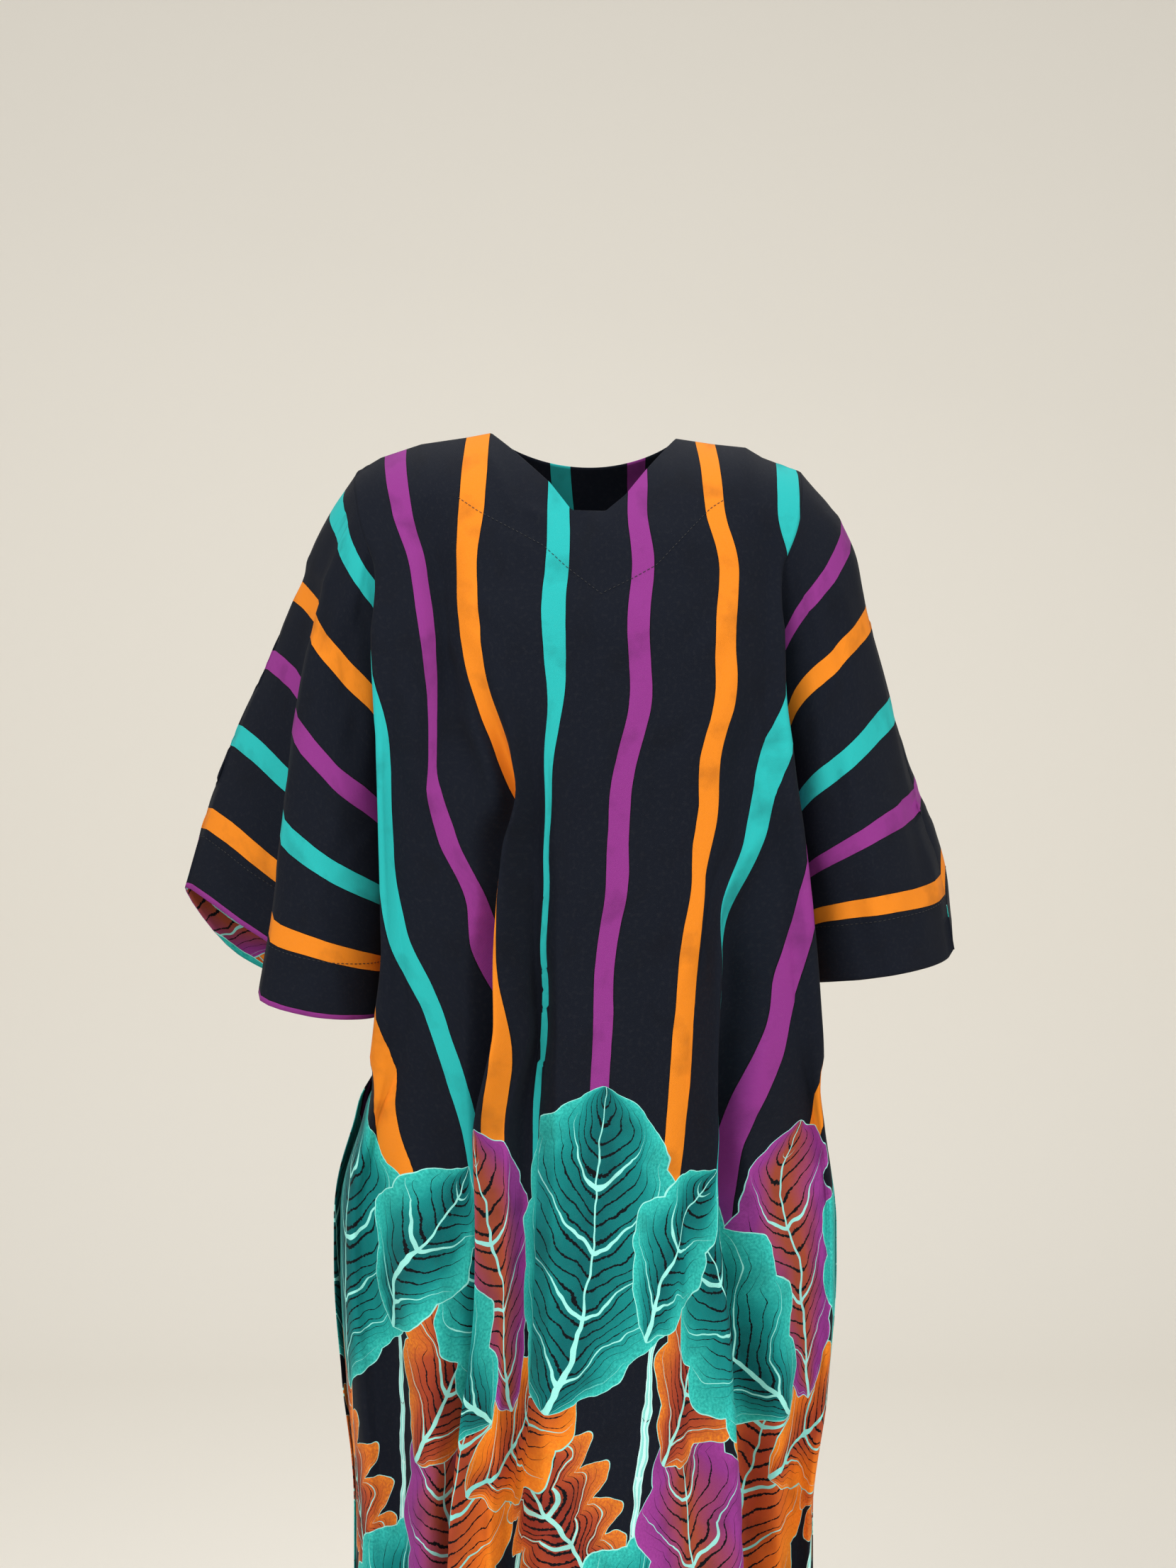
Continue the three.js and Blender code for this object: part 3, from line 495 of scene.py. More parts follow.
class Drape:
    """The form that every piece of cloth hangs in."""

    def folded(self, point: Points, cut: Points, height: Points) -> Points:
        """Adds the front's laps and troughs.

        Args:
            point: across and depth of each point, changed in place.
            cut: where each point lies on the flat cut.
            height: how high each point is.

        Returns:
            The points, folded.
        """
        for lap in FRONT_LAPS:
            share = (cut - lap.read("cut", height)) / lap.read("width", height)
            inside = np.cos(np.pi * np.clip(share, -0.5, 0.5))
            wave = np.sin(2 * np.pi * (share + 0.5)) * np.sqrt(np.maximum(inside, 0))
            wave = np.where(np.abs(share) < 0.5, wave, 0.0)
            point[:, 0] += wave * lap.read("lap", height)
            point[:, 1] += wave * lap.read("stand", height)
        for trough in FRONT_TROUGHS:
            share = (cut - trough.read("cut", height)) / trough.read("width", height)
            hollow = np.cos(np.pi * np.clip(share, -0.5, 0.5)) ** 2
            point[:, 1] += trough.read("sink", height) * hollow
        return point

    def front_cut(self, share: Points, height: Points) -> Points:
        """Which place of the flat cut is at a share of the front's width."""
        return lerp(FRONT_SECTIONS.read("cutLeft", height), FRONT_SECTIONS.read("cutRight", height), share)

    def front_across(self, share: Points, height: Points) -> Points:
        """Where a share of the front's width lies across the body."""
        places = []
        for row in FRONT_SECTIONS.rows:
            lines = [line for line in STRIPE_LINES if line in row]
            cuts = [row["cutLeft"], *(STRIPE_LINES[line] * STRIPE_PITCH for line in lines), row["cutRight"]]
            across = [row["left"], *(row[line] for line in lines), row["right"]]
            places.append(smooth(cuts, across, lerp(row["cutLeft"], row["cutRight"], share)))
        return smooth(FRONT_SECTIONS.ats, np.array(places), height)

    def depth(self, side: Side, across: Points, height: Points, left: Points, right: Points) -> Points:
        """How deep the cloth hangs at a place across, from its middle and its drape edges."""
        share = np.clip(np.abs(across - (left + right) / 2) / ((right - left) / 2), 0, 1)
        name = side.name.lower()
        middle, edge = (BODY_SECTIONS.read(column, height) for column in (name, f"{name}Edge"))
        stand = lerp(middle, edge, share ** 2.6)
        drop = np.maximum(0, SHOULDER_LINE.trace(across) - height)
        return side.value * stand * (1 - np.exp(-drop / lerp(CHEST_TURN, SHOULDER_TURN, share)))

    def front(self, share: Points, height: Points) -> Points:
        """Points of the front, from their shares of its width and their heights."""
        across = self.front_across(share, height)
        left, right = (FRONT_SECTIONS.read(edge, height) for edge in ("left", "right"))
        depth = self.depth(Side.FRONT, across, height, left, right)
        point = np.stack([across, depth, height], axis=1)
        return self.folded(point, self.front_cut(share, height), height)

    def back(self, share: Points, height: Points) -> Points:
        """Points of the back, from their shares of its width and their heights."""
        left, right = (BACK_SECTIONS.read(edge, height) for edge in ("left", "right"))
        cut = lerp(-SIDE_SEAM_CUT, SIDE_SEAM_CUT, share)
        across = lerp(left, right, share)
        depth = self.depth(Side.BACK, across, height, left, right)
        for order, middle in enumerate(BACK_FOLD_CUTS):
            place = np.clip((cut - middle) / BACK_FOLD_WIDTH, -0.5, 0.5)
            wave = np.sin(2 * np.pi * (place + 0.5)) * np.cos(np.pi * place)
            across = across + wave * (1 if order % 2 == 0 else -1) * BACK_SECTIONS.read("lap", height)
            depth = depth - wave * BACK_SECTIONS.read("stand", height)
        return np.stack([across, depth, height], axis=1)

    def side(self, side: Side, share: Points, height: Points) -> Points:
        """Points of the front or the back."""
        return self.front(share, height) if side is Side.FRONT else self.back(share, height)

    def tucked_edge(self, side: Side, hand: Hand, height: Points) -> Points:
        """The edge of a panel, tucked in behind its drape fold."""
        fold = self.side(side, np.full(height.shape, 0.0 if hand is Hand.LEFT else 1.0), height)
        tuck = BODY_SECTIONS.read("tuck", height)
        armhole = np.clip((height - UNDERARM_HEIGHT) / ARMHOLE_RISE, 0, 1)
        across = fold[:, 0] - hand.value * tuck
        deep = fold[:, 1] - side.value * tuck * TUCK_DEPTH
        return np.stack([across, lerp(side.value * SEAM_GAP / 2, deep, ease(armhole)), height], axis=1)

    def panel(self, side: Side, share: Points, height: Points) -> Points:
        """Points of a panel with its hooked edges.

        Args:
            side: the front or the back.
            share: where each point is across the panel; within HOOK_SHARE of an edge it is hooked.
            height: how high each point is.

        Returns:
            The points, in mm.
        """
        points = self.side(side, np.clip(share, HOOK_SHARE, 1 - HOOK_SHARE), height)
        for hand in Hand:
            from_edge = share if hand is Hand.LEFT else 1 - share
            hooked = from_edge < HOOK_SHARE
            if not hooked.any():
                continue
            high, place = height[hooked], (from_edge[hooked] / HOOK_SHARE)[:, None]
            folded = np.clip(BODY_SECTIONS.read("tuck", high) / FULL_TUCK, 0, 1)
            fold_share = lerp(HOOK_SHARE / 2, 0.0, folded)
            plain_share = np.full(high.shape, HOOK_SHARE)
            if hand is Hand.RIGHT:
                fold_share, plain_share = 1 - fold_share, 1 - plain_share
            edge = self.tucked_edge(side, hand, high)
            fold, plain = self.side(side, fold_share, high), self.side(side, plain_share, high)
            pull = fold * 2 - edge / 2 - plain / 2
            bent = edge * (1 - place) ** 2 + pull * 2 * place * (1 - place) + plain * place ** 2
            bent[:, 2] = high
            points[hooked] = bent
        return points

    def top(self, side: Side, across: Points) -> Points:
        """The height of a panel's top edge: the shoulders and the neck."""
        shoulder = SHOULDER_LINE.trace(across)
        inside = (across > NECK_LEFT) & (across < NECK_RIGHT)
        if side is Side.FRONT:
            return np.where(inside, NECK_V.trace(across), shoulder)
        place = np.clip((across - NECK_LEFT) / (NECK_RIGHT - NECK_LEFT), 0, 1)
        return np.where(inside, shoulder - BACK_NECK_DROP * np.sin(np.pi * place) ** 0.7, shoulder)

    def share_at(self, side: Side, across: float) -> float:
        """The share of a panel's width that comes to a place across the top edge."""
        low, high = 0.0, 1.0
        for _ in range(SHARE_HALVINGS):
            middle = (low + high) / 2
            if self.side(side, np.array([middle]), np.array([NEAR_TOP]))[0, 0] < across:
                low = middle
            else:
                high = middle
        return (low + high) / 2


DRAPE = Drape()


def grid_normals(grid: Points, ring: bool, flip: bool) -> Points:
    """Outward unit normals of a grid of points.

    Args:
        grid: rows by columns by 3; a ring's last column repeats its first.
        ring: whether each row is closed on itself.
        flip: whether the outside is the other way round.

    Returns:
        A normal for each point.
    """
    down = np.gradient(grid, axis=0)
    if ring:
        wrapped = np.concatenate([grid[:, -2:-1], grid, grid[:, 1:2]], axis=1)
        along = (wrapped[:, 2:] - wrapped[:, :-2]) / 2
    else:
        along = np.gradient(grid, axis=1)
    normals = np.cross(down, along) * (-1 if flip else 1)
    return normals / np.maximum(np.linalg.norm(normals, axis=2, keepdims=True), 1e-9)


def pressed(grid: Points, creases: list[dict[str, float]], mirror: int, keep: Points) -> Points:
    """How far creases lift each point of a grid.

    Args:
        grid: the points, in mm.
        creases: the creases, as seen from the front, in rows like those of FRONT_CREASES.
        mirror: -1 where the creases are for the other hand.
        keep: how much of the crease each point takes, from 0 at a seam to 1.

    Returns:
        The lift of each point, in mm.
    """
    lift = np.zeros(grid.shape[:2])
    for row in creases:
        start = np.array([row["across"] * mirror, row["height"]])
        end = np.array([row["toAcross"] * mirror, row["toHeight"]])
        run = end - start
        length = np.linalg.norm(run)
        offset = grid[:, :, [0, 2]] - start
        travel = offset @ run / length
        aside = (offset[:, :, 0] * run[1] - offset[:, :, 1] * run[0]) / length
        along = np.clip(travel / length, 0, 1)
        aside = aside / row["width"] + CREASE_BOW * np.sin(np.pi * along)
        ridge = np.exp(-(aside ** 2))
        ridge -= TROUGH_DEPTH * np.exp(-(((aside - TROUGH_OFFSET) / TROUGH_BREADTH) ** 2))
        lift += row["stand"] * ridge * np.sin(np.pi * along) ** 0.8
    return lift * keep


def rumpled(grid: Points, seed: int, number: int, keep: Points) -> Points:
    """How far small wrinkles lift each point: short curved ridges strewn at random from a seed."""
    draw = random.Random(seed)
    low, high = grid.reshape(-1, 3).min(0), grid.reshape(-1, 3).max(0)
    wrinkles = []
    for _ in range(number):
        across, height = draw.uniform(low[0], high[0]), draw.uniform(low[2], high[2])
        turn, length = draw.gauss(0, WRINKLE_TURN), draw.uniform(*WRINKLE_LENGTH)
        stand = draw.uniform(*WRINKLE_STAND) * draw.choice((-1, 1))
        wrinkles.append({"across": across, "height": height, "toAcross": across + length * math.sin(turn),
                         "toHeight": height - length * math.cos(turn),
                         "width": draw.uniform(*WRINKLE_WIDTH), "stand": stand})
    return pressed(grid, wrinkles, 1, keep)


@dataclass
class ClothSheet:
    """A sheet of cloth made from a grid: its points in mm and its places on the flat cut in metres.

    The border's leaves run the other way across the cut where border_turn is -1.
    """

    name: str
    grid: Points
    flat: Points
    normals: Points
    ring: bool = False
    border_turn: int = 1

    def build(self, material: bpy.types.Material, thickness: float) -> bpy.types.Object:
        """Makes the sheet from a flat grid moved to the form.

        Args:
            material: the cloth's material.
            thickness: the cloth's thickness in metres, laid inwards.

        Returns:
            The object.
        """
        rows, columns = self.grid.shape[:2]
        bm = bmesh.new()
        cut, border = (bm.loops.layers.uv.new(name) for name in ("cut", "border"))
        bmesh.ops.create_grid(bm, x_segments=columns - 1, y_segments=rows - 1, size=1)
        places = {}
        for vert in bm.verts:
            row = round((1 - vert.co.y) / 2 * (rows - 1))
            column = round((vert.co.x + 1) / 2 * (columns - 1))
            places[vert.index] = (row, column)
            vert.co = Vector(self.grid[row, column]) * MM
        bm.normal_update()
        facing = 0.0
        for face in bm.faces:
            row, column = places[face.verts[0].index]
            facing += face.normal.dot(Vector(self.normals[row, column]))
            for loop in face.loops:
                across, down = self.flat[places[loop.vert.index]]
                loop[cut].uv, loop[border].uv = (across, down), (across * self.border_turn, down)
            face.smooth = True
        if facing < 0:
            bmesh.ops.reverse_faces(bm, faces=bm.faces)
        if self.ring:
            seam = [v for v in bm.verts if places[v.index][1] in (0, columns - 1)]
            bmesh.ops.remove_doubles(bm, verts=seam, dist=1e-6)
        obj = as_object(bm, self.name, material)
        solid = obj.modifiers.new("thickness", "SOLIDIFY")
        solid.thickness, solid.offset = thickness, -1
        return obj

    def run(self, row: int) -> tuple[Points, Points]:
        """The points along one row of the sheet, and the outward normals there."""
        return self.grid[row], self.normals[row]


def as_object(bm: bmesh.types.BMesh, name: str, material: bpy.types.Material) -> bpy.types.Object:
    """Turns a bmesh into a linked object with one material."""
    mesh = bpy.data.meshes.new(name)
    bm.to_mesh(mesh)
    bm.free()
    mesh.materials.append(material)
    obj = bpy.data.objects.new(name, mesh)
    bpy.context.scene.collection.objects.link(obj)
    return obj


@dataclass
class Panel:
    """The front or the back of the dress, cut in one from shoulder to hem."""

    side: Side
    node: str
    creases: Table
    seed: int
    counts: tuple[int, ...]
    corners: tuple[float, ...]
    yoke_rows: int = 36
    row_step: float = 6.5
    hook_columns: int = 9
    hem_rows: int = 40
    seam_rows: int = 8
    wrinkles: int = 120
    sight_height: float = -960.0
    sheet: ClothSheet | None = None

    def columns(self) -> Points:
        """The shares of the width that carry a column of the grid."""
        stops = [HOOK_SHARE, *(DRAPE.share_at(self.side, corner) for corner in self.corners), 1 - HOOK_SHARE]
        shares = [np.linspace(0, HOOK_SHARE, self.hook_columns, endpoint=False)]
        for start, end, count in zip(stops, stops[1:], self.counts):
            shares.append(np.linspace(start, end, count, endpoint=False))
        shares.append(np.linspace(1 - HOOK_SHARE, 1, self.hook_columns + 1))
        return np.concatenate(shares)

    def heights(self, tops: Points) -> Points:
        """The height of every grid point: fanned in the yoke, level below it."""
        fan = (np.arange(self.yoke_rows) / self.yoke_rows) ** 1.25
        seen = np.arange(YOKE_HEIGHT, self.sight_height, -self.row_step)
        unseen = np.linspace(self.sight_height, HEM_HEIGHT, self.hem_rows)
        level = np.concatenate([seen, unseen])
        yoke = tops[None, :] + (YOKE_HEIGHT - tops[None, :]) * fan[:, None]
        return np.vstack([yoke, np.repeat(level[:, None], tops.size, axis=1)])

    def form(self) -> ClothSheet:
        """Works out the panel's grid, with its folds, creases and places on the cut."""
        shares = self.columns()
        tops = np.full(shares.shape, NEAR_TOP)
        for _ in range(TOP_PASSES):
            tops = DRAPE.top(self.side, DRAPE.panel(self.side, shares, tops)[:, 0])
        heights = self.heights(tops)
        share = np.repeat(shares[None, :], heights.shape[0], axis=0)
        grid = DRAPE.panel(self.side, share.ravel(), heights.ravel()).reshape(*heights.shape, 3)
        grid[0, :, 1] += self.side.value * SEAM_GAP / 2
        self.open_pockets(grid, share)
        normals = grid_normals(grid, False, self.side is Side.BACK)
        keep = np.clip(np.minimum(share, 1 - share) / HOOK_SHARE - 0.4, 0, 1)
        keep = keep * np.clip(np.arange(heights.shape[0]) / self.seam_rows, 0, 1)[:, None]
        lift = pressed(grid, self.creases.rows, 1, keep) + rumpled(grid, self.seed, self.wrinkles, keep)
        lift = lift + self.pleated(share, heights)
        grid = grid + normals * lift[:, :, None]
        cut = self.cut_places(grid, share, heights)
        flat = np.stack([cut, -heights], axis=2) * MM
        self.sheet = ClothSheet(f"{self.node}_cloth", grid, flat, normals, border_turn=-self.side.value)
        return self.sheet

    def cut_places(self, grid: Points, share: Points, heights: Points) -> Points:
        """Where each grid point lies across the flat cut: at the hooked edges, by its way along the cloth."""
        cut = DRAPE.front_cut(share.ravel(), heights.ravel()).reshape(heights.shape)
        steps = np.linalg.norm(np.diff(grid, axis=1), axis=2)
        for column in range(self.hook_columns - 1, -1, -1):
            cut[:, column] = cut[:, column + 1] - steps[:, column]
            cut[:, -1 - column] = cut[:, -2 - column] + steps[:, -1 - column]
        if self.side is Side.FRONT:
            return self.printed_cut(cut, heights)
        near = ease(np.clip((heights - SHIFT_END) / SHIFT_DROP, 0, 1))
        return cut + self.shoulder_shift(cut[0], grid[0, :, 0], heights[0]) * near

    def shoulder_shift(self, cut: Points, across: Points, tops: Points) -> Points:
        """How far the back's print moves over, at each column, to meet the front's along the shoulders."""
        shares = np.linspace(0, 1, SHIFT_SAMPLES)
        shift = np.zeros(cut.shape)
        for column, top in enumerate(tops):
            level = np.full(shares.shape, top)
            front = self.printed_cut(DRAPE.front_cut(shares, level), level)
            lies = DRAPE.panel(Side.FRONT, shares, level)[:, 0]
            shift[column] = np.interp(across[column], lies, front) - cut[column]
        return shift

    def printed_cut(self, cut: Points, heights: Points) -> Points:
        """Passes over the cloth that the front's folds hide, and evens out its stripes' widths."""
        for fold in FRONT_HIDDEN:
            columns = ("cut", "hidden", "reach")
            start, hidden, reach = (fold.read(name, heights).reshape(cut.shape) for name in columns)
            turned = np.clip((cut - start) / FOLD_TURN + 0.5, 0, 1)
            cut = cut + hidden * turned * (1 - np.clip((cut - start) / reach, 0, 1))
        for name in STRIPE_SHARE.names[1:]:
            turn = 2 * np.pi * (cut / STRIPE_PITCH - STRIPE_LINES[name])
            share = STRIPE_SHARE.read(name, heights).reshape(cut.shape)
            moved = (share - 1) * STRIPE_PITCH / (2 * np.pi) * np.sin(turn)
            cut = cut + np.where(abs(turn) < np.pi, moved, 0)
        return cut

    def pleated(self, share: Points, heights: Points) -> Points:
        """How far the front's narrow pleat lifts the cloth on one side and sinks it on the other."""
        if self.side is Side.BACK:
            return np.zeros(share.shape)
        pleat, *_ = FRONT_HIDDEN
        start, hidden = (pleat.read(name, heights).reshape(share.shape) for name in ("cut", "hidden"))
        past = DRAPE.front_cut(share.ravel(), heights.ravel()).reshape(share.shape) - start
        lift = PLEAT_LIFT * np.exp(past / PLEAT_LIFT_REACH)
        sink = PLEAT_SINK * np.exp(-past / PLEAT_SINK_REACH)
        return np.where(past < 0, lift, -sink) * hidden

    def open_pockets(self, grid: Points, share: Points) -> None:
        """Parts the side seams at the pocket mouths."""
        place = np.clip((grid[:, :, 2] - POCKET.bottom) / (POCKET.top - POCKET.bottom), 0, 1)
        gap = POCKET.mouth_gap / 2 * np.sin(np.pi * place) ** 0.6
        near = np.clip(1 - 1.5 * np.minimum(share, 1 - share) / HOOK_SHARE, 0, 1)
        grid[:, :, 1] += self.side.value * gap * near

    def build(self, material: bpy.types.Material) -> bpy.types.Object:
        """Builds the panel, hides the imported part that it stands for and attaches it to the root."""
        obj = self.form().build(material, CLOTH_THICKNESS)
        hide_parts(self.node)
        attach(obj, "root")
        return obj


@dataclass
class PocketBag:
    """A pocket bag that hangs inside a side seam, its mouth outwards."""

    top: float = -572
    bottom: float = -690
    mouth_gap: float = 16
    inset: float = 3.6
    deep: float = 120
    drop: float = 52
    fullness: float = 11
    sewn_edge: float = 1.6
    cloth_round: float = 260
    print_down: float = 700
    around: int = 40
    rings: int = 26

    def build(self, hand: Hand, material: bpy.types.Material) -> bpy.types.Object:
        """Builds the bag of one hand, closed along its sewn edge."""
        middle, reach = (self.top + self.bottom) / 2, (self.top - self.bottom) / 2 - 4
        inward = np.linspace(0, 1, self.rings)[:, None]
        angle = np.linspace(0, 2 * np.pi, self.around + 1)[None, :]
        width = lerp(self.mouth_gap / 2 - 1, self.fullness, np.sin(np.pi * inward))
        width = lerp(width, self.sewn_edge / 2, inward ** 6)
        tall = reach * lerp(1, 0.8, inward ** 2)
        height = middle - self.drop * inward + tall * np.cos(angle)
        mouth = np.repeat(middle + reach * np.cos(angle), self.rings, axis=0)
        seam = DRAPE.tucked_edge(Side.FRONT, hand, mouth.ravel())[:, 0].reshape(mouth.shape)
        across = seam - hand.value * (self.inset + self.deep * inward)
        grid = np.stack([across, width * np.sin(angle), height], axis=2)
        normals = grid_normals(grid, True, hand is Hand.RIGHT)
        down = self.cloth_round * angle / (2 * np.pi) + self.print_down
        flat = np.stack(np.broadcast_arrays(inward * self.deep, down), axis=2)
        name = f"pocket_{hand.name.lower()}"
        obj = ClothSheet(f"{name}_cloth", grid, flat * MM, normals, True).build(material, SINGLE_THICKNESS)
        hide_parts(name)
        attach(obj, "root")
        return obj


POCKET = PocketBag()


def curve_points(knots: Points, closed: bool, places: Points) -> Points:
    """Points of a smooth curve through knots, its speed evened by their distances.

    Args:
        knots: the points the curve passes through.
        closed: whether it comes back to its first knot.
        places: where on the curve, from 0 to 1, evenly by knot.

    Returns:
        The curve's points.
    """
    count = len(knots)
    spans = count if closed else count - 1
    at = np.clip(places, 0, 1) * spans
    i = np.minimum(at.astype(int), spans - 1)
    t = (at - i)[:, None]
    if closed:
        p0, p1, p2, p3 = (knots[(i + k) % count] for k in (-1, 0, 1, 2))
    else:
        ends = np.vstack([2 * knots[:1] - knots[1:2], knots, 2 * knots[-1:] - knots[-2:-1]])
        p0, p1, p2, p3 = (ends[i + k] for k in (0, 1, 2, 3))
    steps = (p1 - p0, p2 - p1, p3 - p2)
    d0, d1, d2 = (np.sqrt(np.linalg.norm(step, axis=1, keepdims=True)) for step in steps)
    d1 = np.where(d1 < 1e-2, 1.0, d1)
    d0, d2 = np.where(d0 < 1e-2, d1, d0), np.where(d2 < 1e-2, d1, d2)
    m1 = ((p1 - p0) / d0 - (p2 - p0) / (d0 + d1) + (p2 - p1) / d1) * d1
    m2 = ((p2 - p1) / d1 - (p3 - p1) / (d1 + d2) + (p3 - p2) / d2) * d1
    return p1 + t * (m1 + t * (3 * (p2 - p1) - 2 * m1 - m2 + t * (2 * (p1 - p2) + m1 + m2)))


@dataclass
class Sleeve:
    """A wide sleeve that hangs from the armhole, with a stitched band at its cuff."""

    hand: Hand
    seed: int
    front: Panel
    back: Panel
    rows: int = 84
    band_rows: int = 12
    armhole_rows: int = 26
    samples: int = 160
    seam_rows: int = 10
    wrinkles: int = 46
    turned_tuck: float = 26
    turned_depth: float = 30
    turn_out: float = 3
    turn_in: float = 10
    print_start: float = -120
    print_round: float = 600
    facing_inset: float = 1.25
    facing_print: tuple[float, float] = (0.3, 0.9)
    sheet: ClothSheet | None = None

    def armhole(self) -> Points:
        """The armhole's points: up the front from the underarm and down the back."""
        edge_share = np.array([0.0 if self.hand is Hand.LEFT else 1.0])
        top = NEAR_TOP
        for _ in range(TOP_PASSES):
            top = float(SHOULDER_LINE.trace(DRAPE.panel(Side.FRONT, edge_share, np.array([top]))[:, 0])[0])
        lower = np.linspace(UNDERARM_HEIGHT, YOKE_HEIGHT, self.armhole_rows, endpoint=False)
        heights = np.concatenate([lower, np.linspace(YOKE_HEIGHT, top, self.armhole_rows)])
        up = DRAPE.tucked_edge(Side.FRONT, self.hand, heights)
        down = DRAPE.tucked_edge(Side.BACK, self.hand, heights[::-1])
        up[0, 1] = up[-1, 1] = 0
        return np.vstack([up, down[1:-1], up[:1]])

    def guide_places(self, armhole: Points) -> Points:
        """Which place round the guide lines each point of the armhole belongs to."""
        guides = SLEEVE_GUIDES[self.hand].rows
        leaves, sides = (np.array([row[name] for row in guides]) for name in ("leaves", "side"))
        top = leaves.max() + 1
        stops = np.append(np.where(sides < 0, leaves, 2 * top - leaves), 2 * top - UNDERARM_HEIGHT)
        going_up = np.arange(len(armhole)) <= len(armhole) // 2
        high = np.minimum(armhole[:, 2], top)
        return np.interp(np.where(going_up, high, 2 * top - high), stops, np.arange(len(stops)) / len(guides))

    def edge_cut(self, panel: Panel, height: float) -> float:
        """How far from the centre of the cut a panel's own edge lies at one height."""
        column = 0 if self.hand is Hand.LEFT else -1
        heights, cuts = panel.sheet.grid[::-1, column, 2], abs(panel.sheet.flat[::-1, column, 0]) / MM
        return max(float(np.interp(height, heights, cuts)), NARROWEST_EDGE)

    def knots(self, start: Points, stations: list[Points]) -> Points:
        """The knots of one line down the sleeve: out of the armhole, over the crown, to the cuff."""
        tuck = float(BODY_SECTIONS.read("tuck", start[2])[0])
        deep = min(tuck / self.turned_tuck, 1) * min(abs(start[1]) / self.turned_depth, 1)
        crown = np.clip((start[2] - CROWN_HEIGHT) / CROWN_DEPTH, 0, 1) * CROWN[self.hand]
        knots = [start]
        if deep > 0.05:
            out, into = self.hand.value * self.turn_out, -np.sign(start[1]) * self.turn_in
            knots.append(start + np.array([out, into, 0]) * deep)
        if crown > 0.5:
            knots.append((start + stations[0]) / 2 + np.array([self.hand.value * crown, 0, crown * 0.5]))
        return np.array([*knots, *stations])

    def form(self) -> ClothSheet:
        """Works out the sleeve's grid from its guide lines, with its places on the cut."""
        armhole = self.armhole()
        places = self.guide_places(armhole)
        rings = []
        for k in range(1, len(SLEEVE_STATIONS) + 1):
            ring = [[row[f"{axis}{k}"] for axis in "xyz"] for row in SLEEVE_GUIDES[self.hand].rows]
            rings.append(curve_points(np.array(ring), True, places))
        share = np.concatenate([(np.arange(self.rows) / self.rows) ** 1.1, np.ones(1)])
        band = CUFF_BAND * np.arange(1, self.band_rows + 1) / self.band_rows
        grid, cuts = [], []
        for j, start in enumerate(armhole):
            knots = self.knots(start, [ring[j] for ring in rings])
            line = curve_points(knots, False, np.linspace(0, 1, self.samples * (len(knots) - 1) + 1))
            run = np.concatenate([[0], np.cumsum(np.linalg.norm(np.diff(line, axis=0), axis=1))])
            above = run[-1] - CUFF_BAND
            travel = np.concatenate([lerp(SEAM_GAP, above, share), above + band])
            grid.append(np.stack([np.interp(travel, run, line[:, axis]) for axis in range(3)], axis=1))
            stops = run[::self.samples][-len(SLEEVE_STATIONS):]
            first = self.edge_cut(self.front if 2 * j <= len(armhole) else self.back, start[2])
            cuts.append(np.interp(travel, [0, *stops], [first, *SLEEVE_STATIONS]))
        grid = np.stack(grid, axis=1)
        normals = grid_normals(grid, True, self.hand is Hand.LEFT)
        keep = np.clip(np.arange(grid.shape[0]) / self.seam_rows, 0, 1)[:, None] * np.ones(grid.shape[1])
        lift = pressed(grid, SLEEVE_CREASES.rows, self.hand.value, keep)
        lift += rumpled(grid, self.seed, self.wrinkles, keep)
        grid = grid + normals * lift[:, :, None]
        rounds = self.print_start + self.print_round * places
        rounds[-1] = self.print_start + self.print_round
        flat = np.stack(np.broadcast_arrays(np.stack(cuts, axis=1) * self.hand.value, rounds), axis=2)
        self.sheet = ClothSheet(f"sleeve_{self.hand.name.lower()}_cloth", grid, flat * MM, normals, True)
        return self.sheet

    def build(self, material: bpy.types.Material) -> bpy.types.Object:
        """Builds the sleeve, hides the imported part that it stands for and attaches it to the root."""
        obj = self.form().build(material, CLOTH_THICKNESS)
        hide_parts(f"sleeve_{self.hand.name.lower()}")
        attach(obj, "root")
        return obj

    def build_facing(self, material: bpy.types.Material) -> bpy.types.Object:
        """Builds the cuff's turned facing, which lies inside the last band of the sleeve."""
        start = self.rows
        normals = self.sheet.normals[start:]
        grid = self.sheet.grid[start:] - normals * self.facing_inset
        flat = self.sheet.flat[start:] + np.array(self.facing_print)
        name = f"cuff_facing_{self.hand.name.lower()}"
        obj = ClothSheet(f"{name}_cloth", grid, flat, normals, True).build(material, SINGLE_THICKNESS)
        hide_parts(name)
        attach(obj, "root")
        return obj


@dataclass
class StitchRow:
    """A row of machine stitches that follows a line over the cloth."""

    name: str
    pitch: float = 4.2
    length: float = 3.3
    breadth: float = 0.75
    thickness: float = 0.6
    proud: float = 0.25

    def build(self, runs: list[tuple[Points, Points]], material: bpy.types.Material) -> bpy.types.Object:
        """Lays the stitches, each a small low-sided capsule.

        Args:
            runs: for each run, its points in mm and the outward normals there.
            material: the thread's material.

        Returns:
            The object.
        """
        bm = bmesh.new()
        for points, normals in runs:
            run = np.concatenate([[0], np.cumsum(np.linalg.norm(np.diff(points, axis=0), axis=1))])
            for at in np.arange(self.pitch / 2, run[-1], self.pitch):
                before, spot, after = (Vector(np.interp(at + step, run, points[:, k]) for k in range(3))
                                       for step in (-1, 0, 1))
                normal = Vector(np.interp(at, run, normals[:, k]) for k in range(3)).normalized()
                along = (after - before).normalized()
                across = normal.cross(along).normalized()
                axes = Matrix((along * self.length, across * self.breadth, normal * self.thickness)) * 0.5
                place = Matrix.Translation((spot + normal * self.proud) * MM)
                bmesh.ops.create_uvsphere(bm, u_segments=6, v_segments=4, radius=1,
                                          matrix=place @ (axes.transposed() * MM).to_4x4())
        for face in bm.faces:
            face.smooth = True
        obj = as_object(bm, self.name, material)
        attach(obj, "root")
        return obj


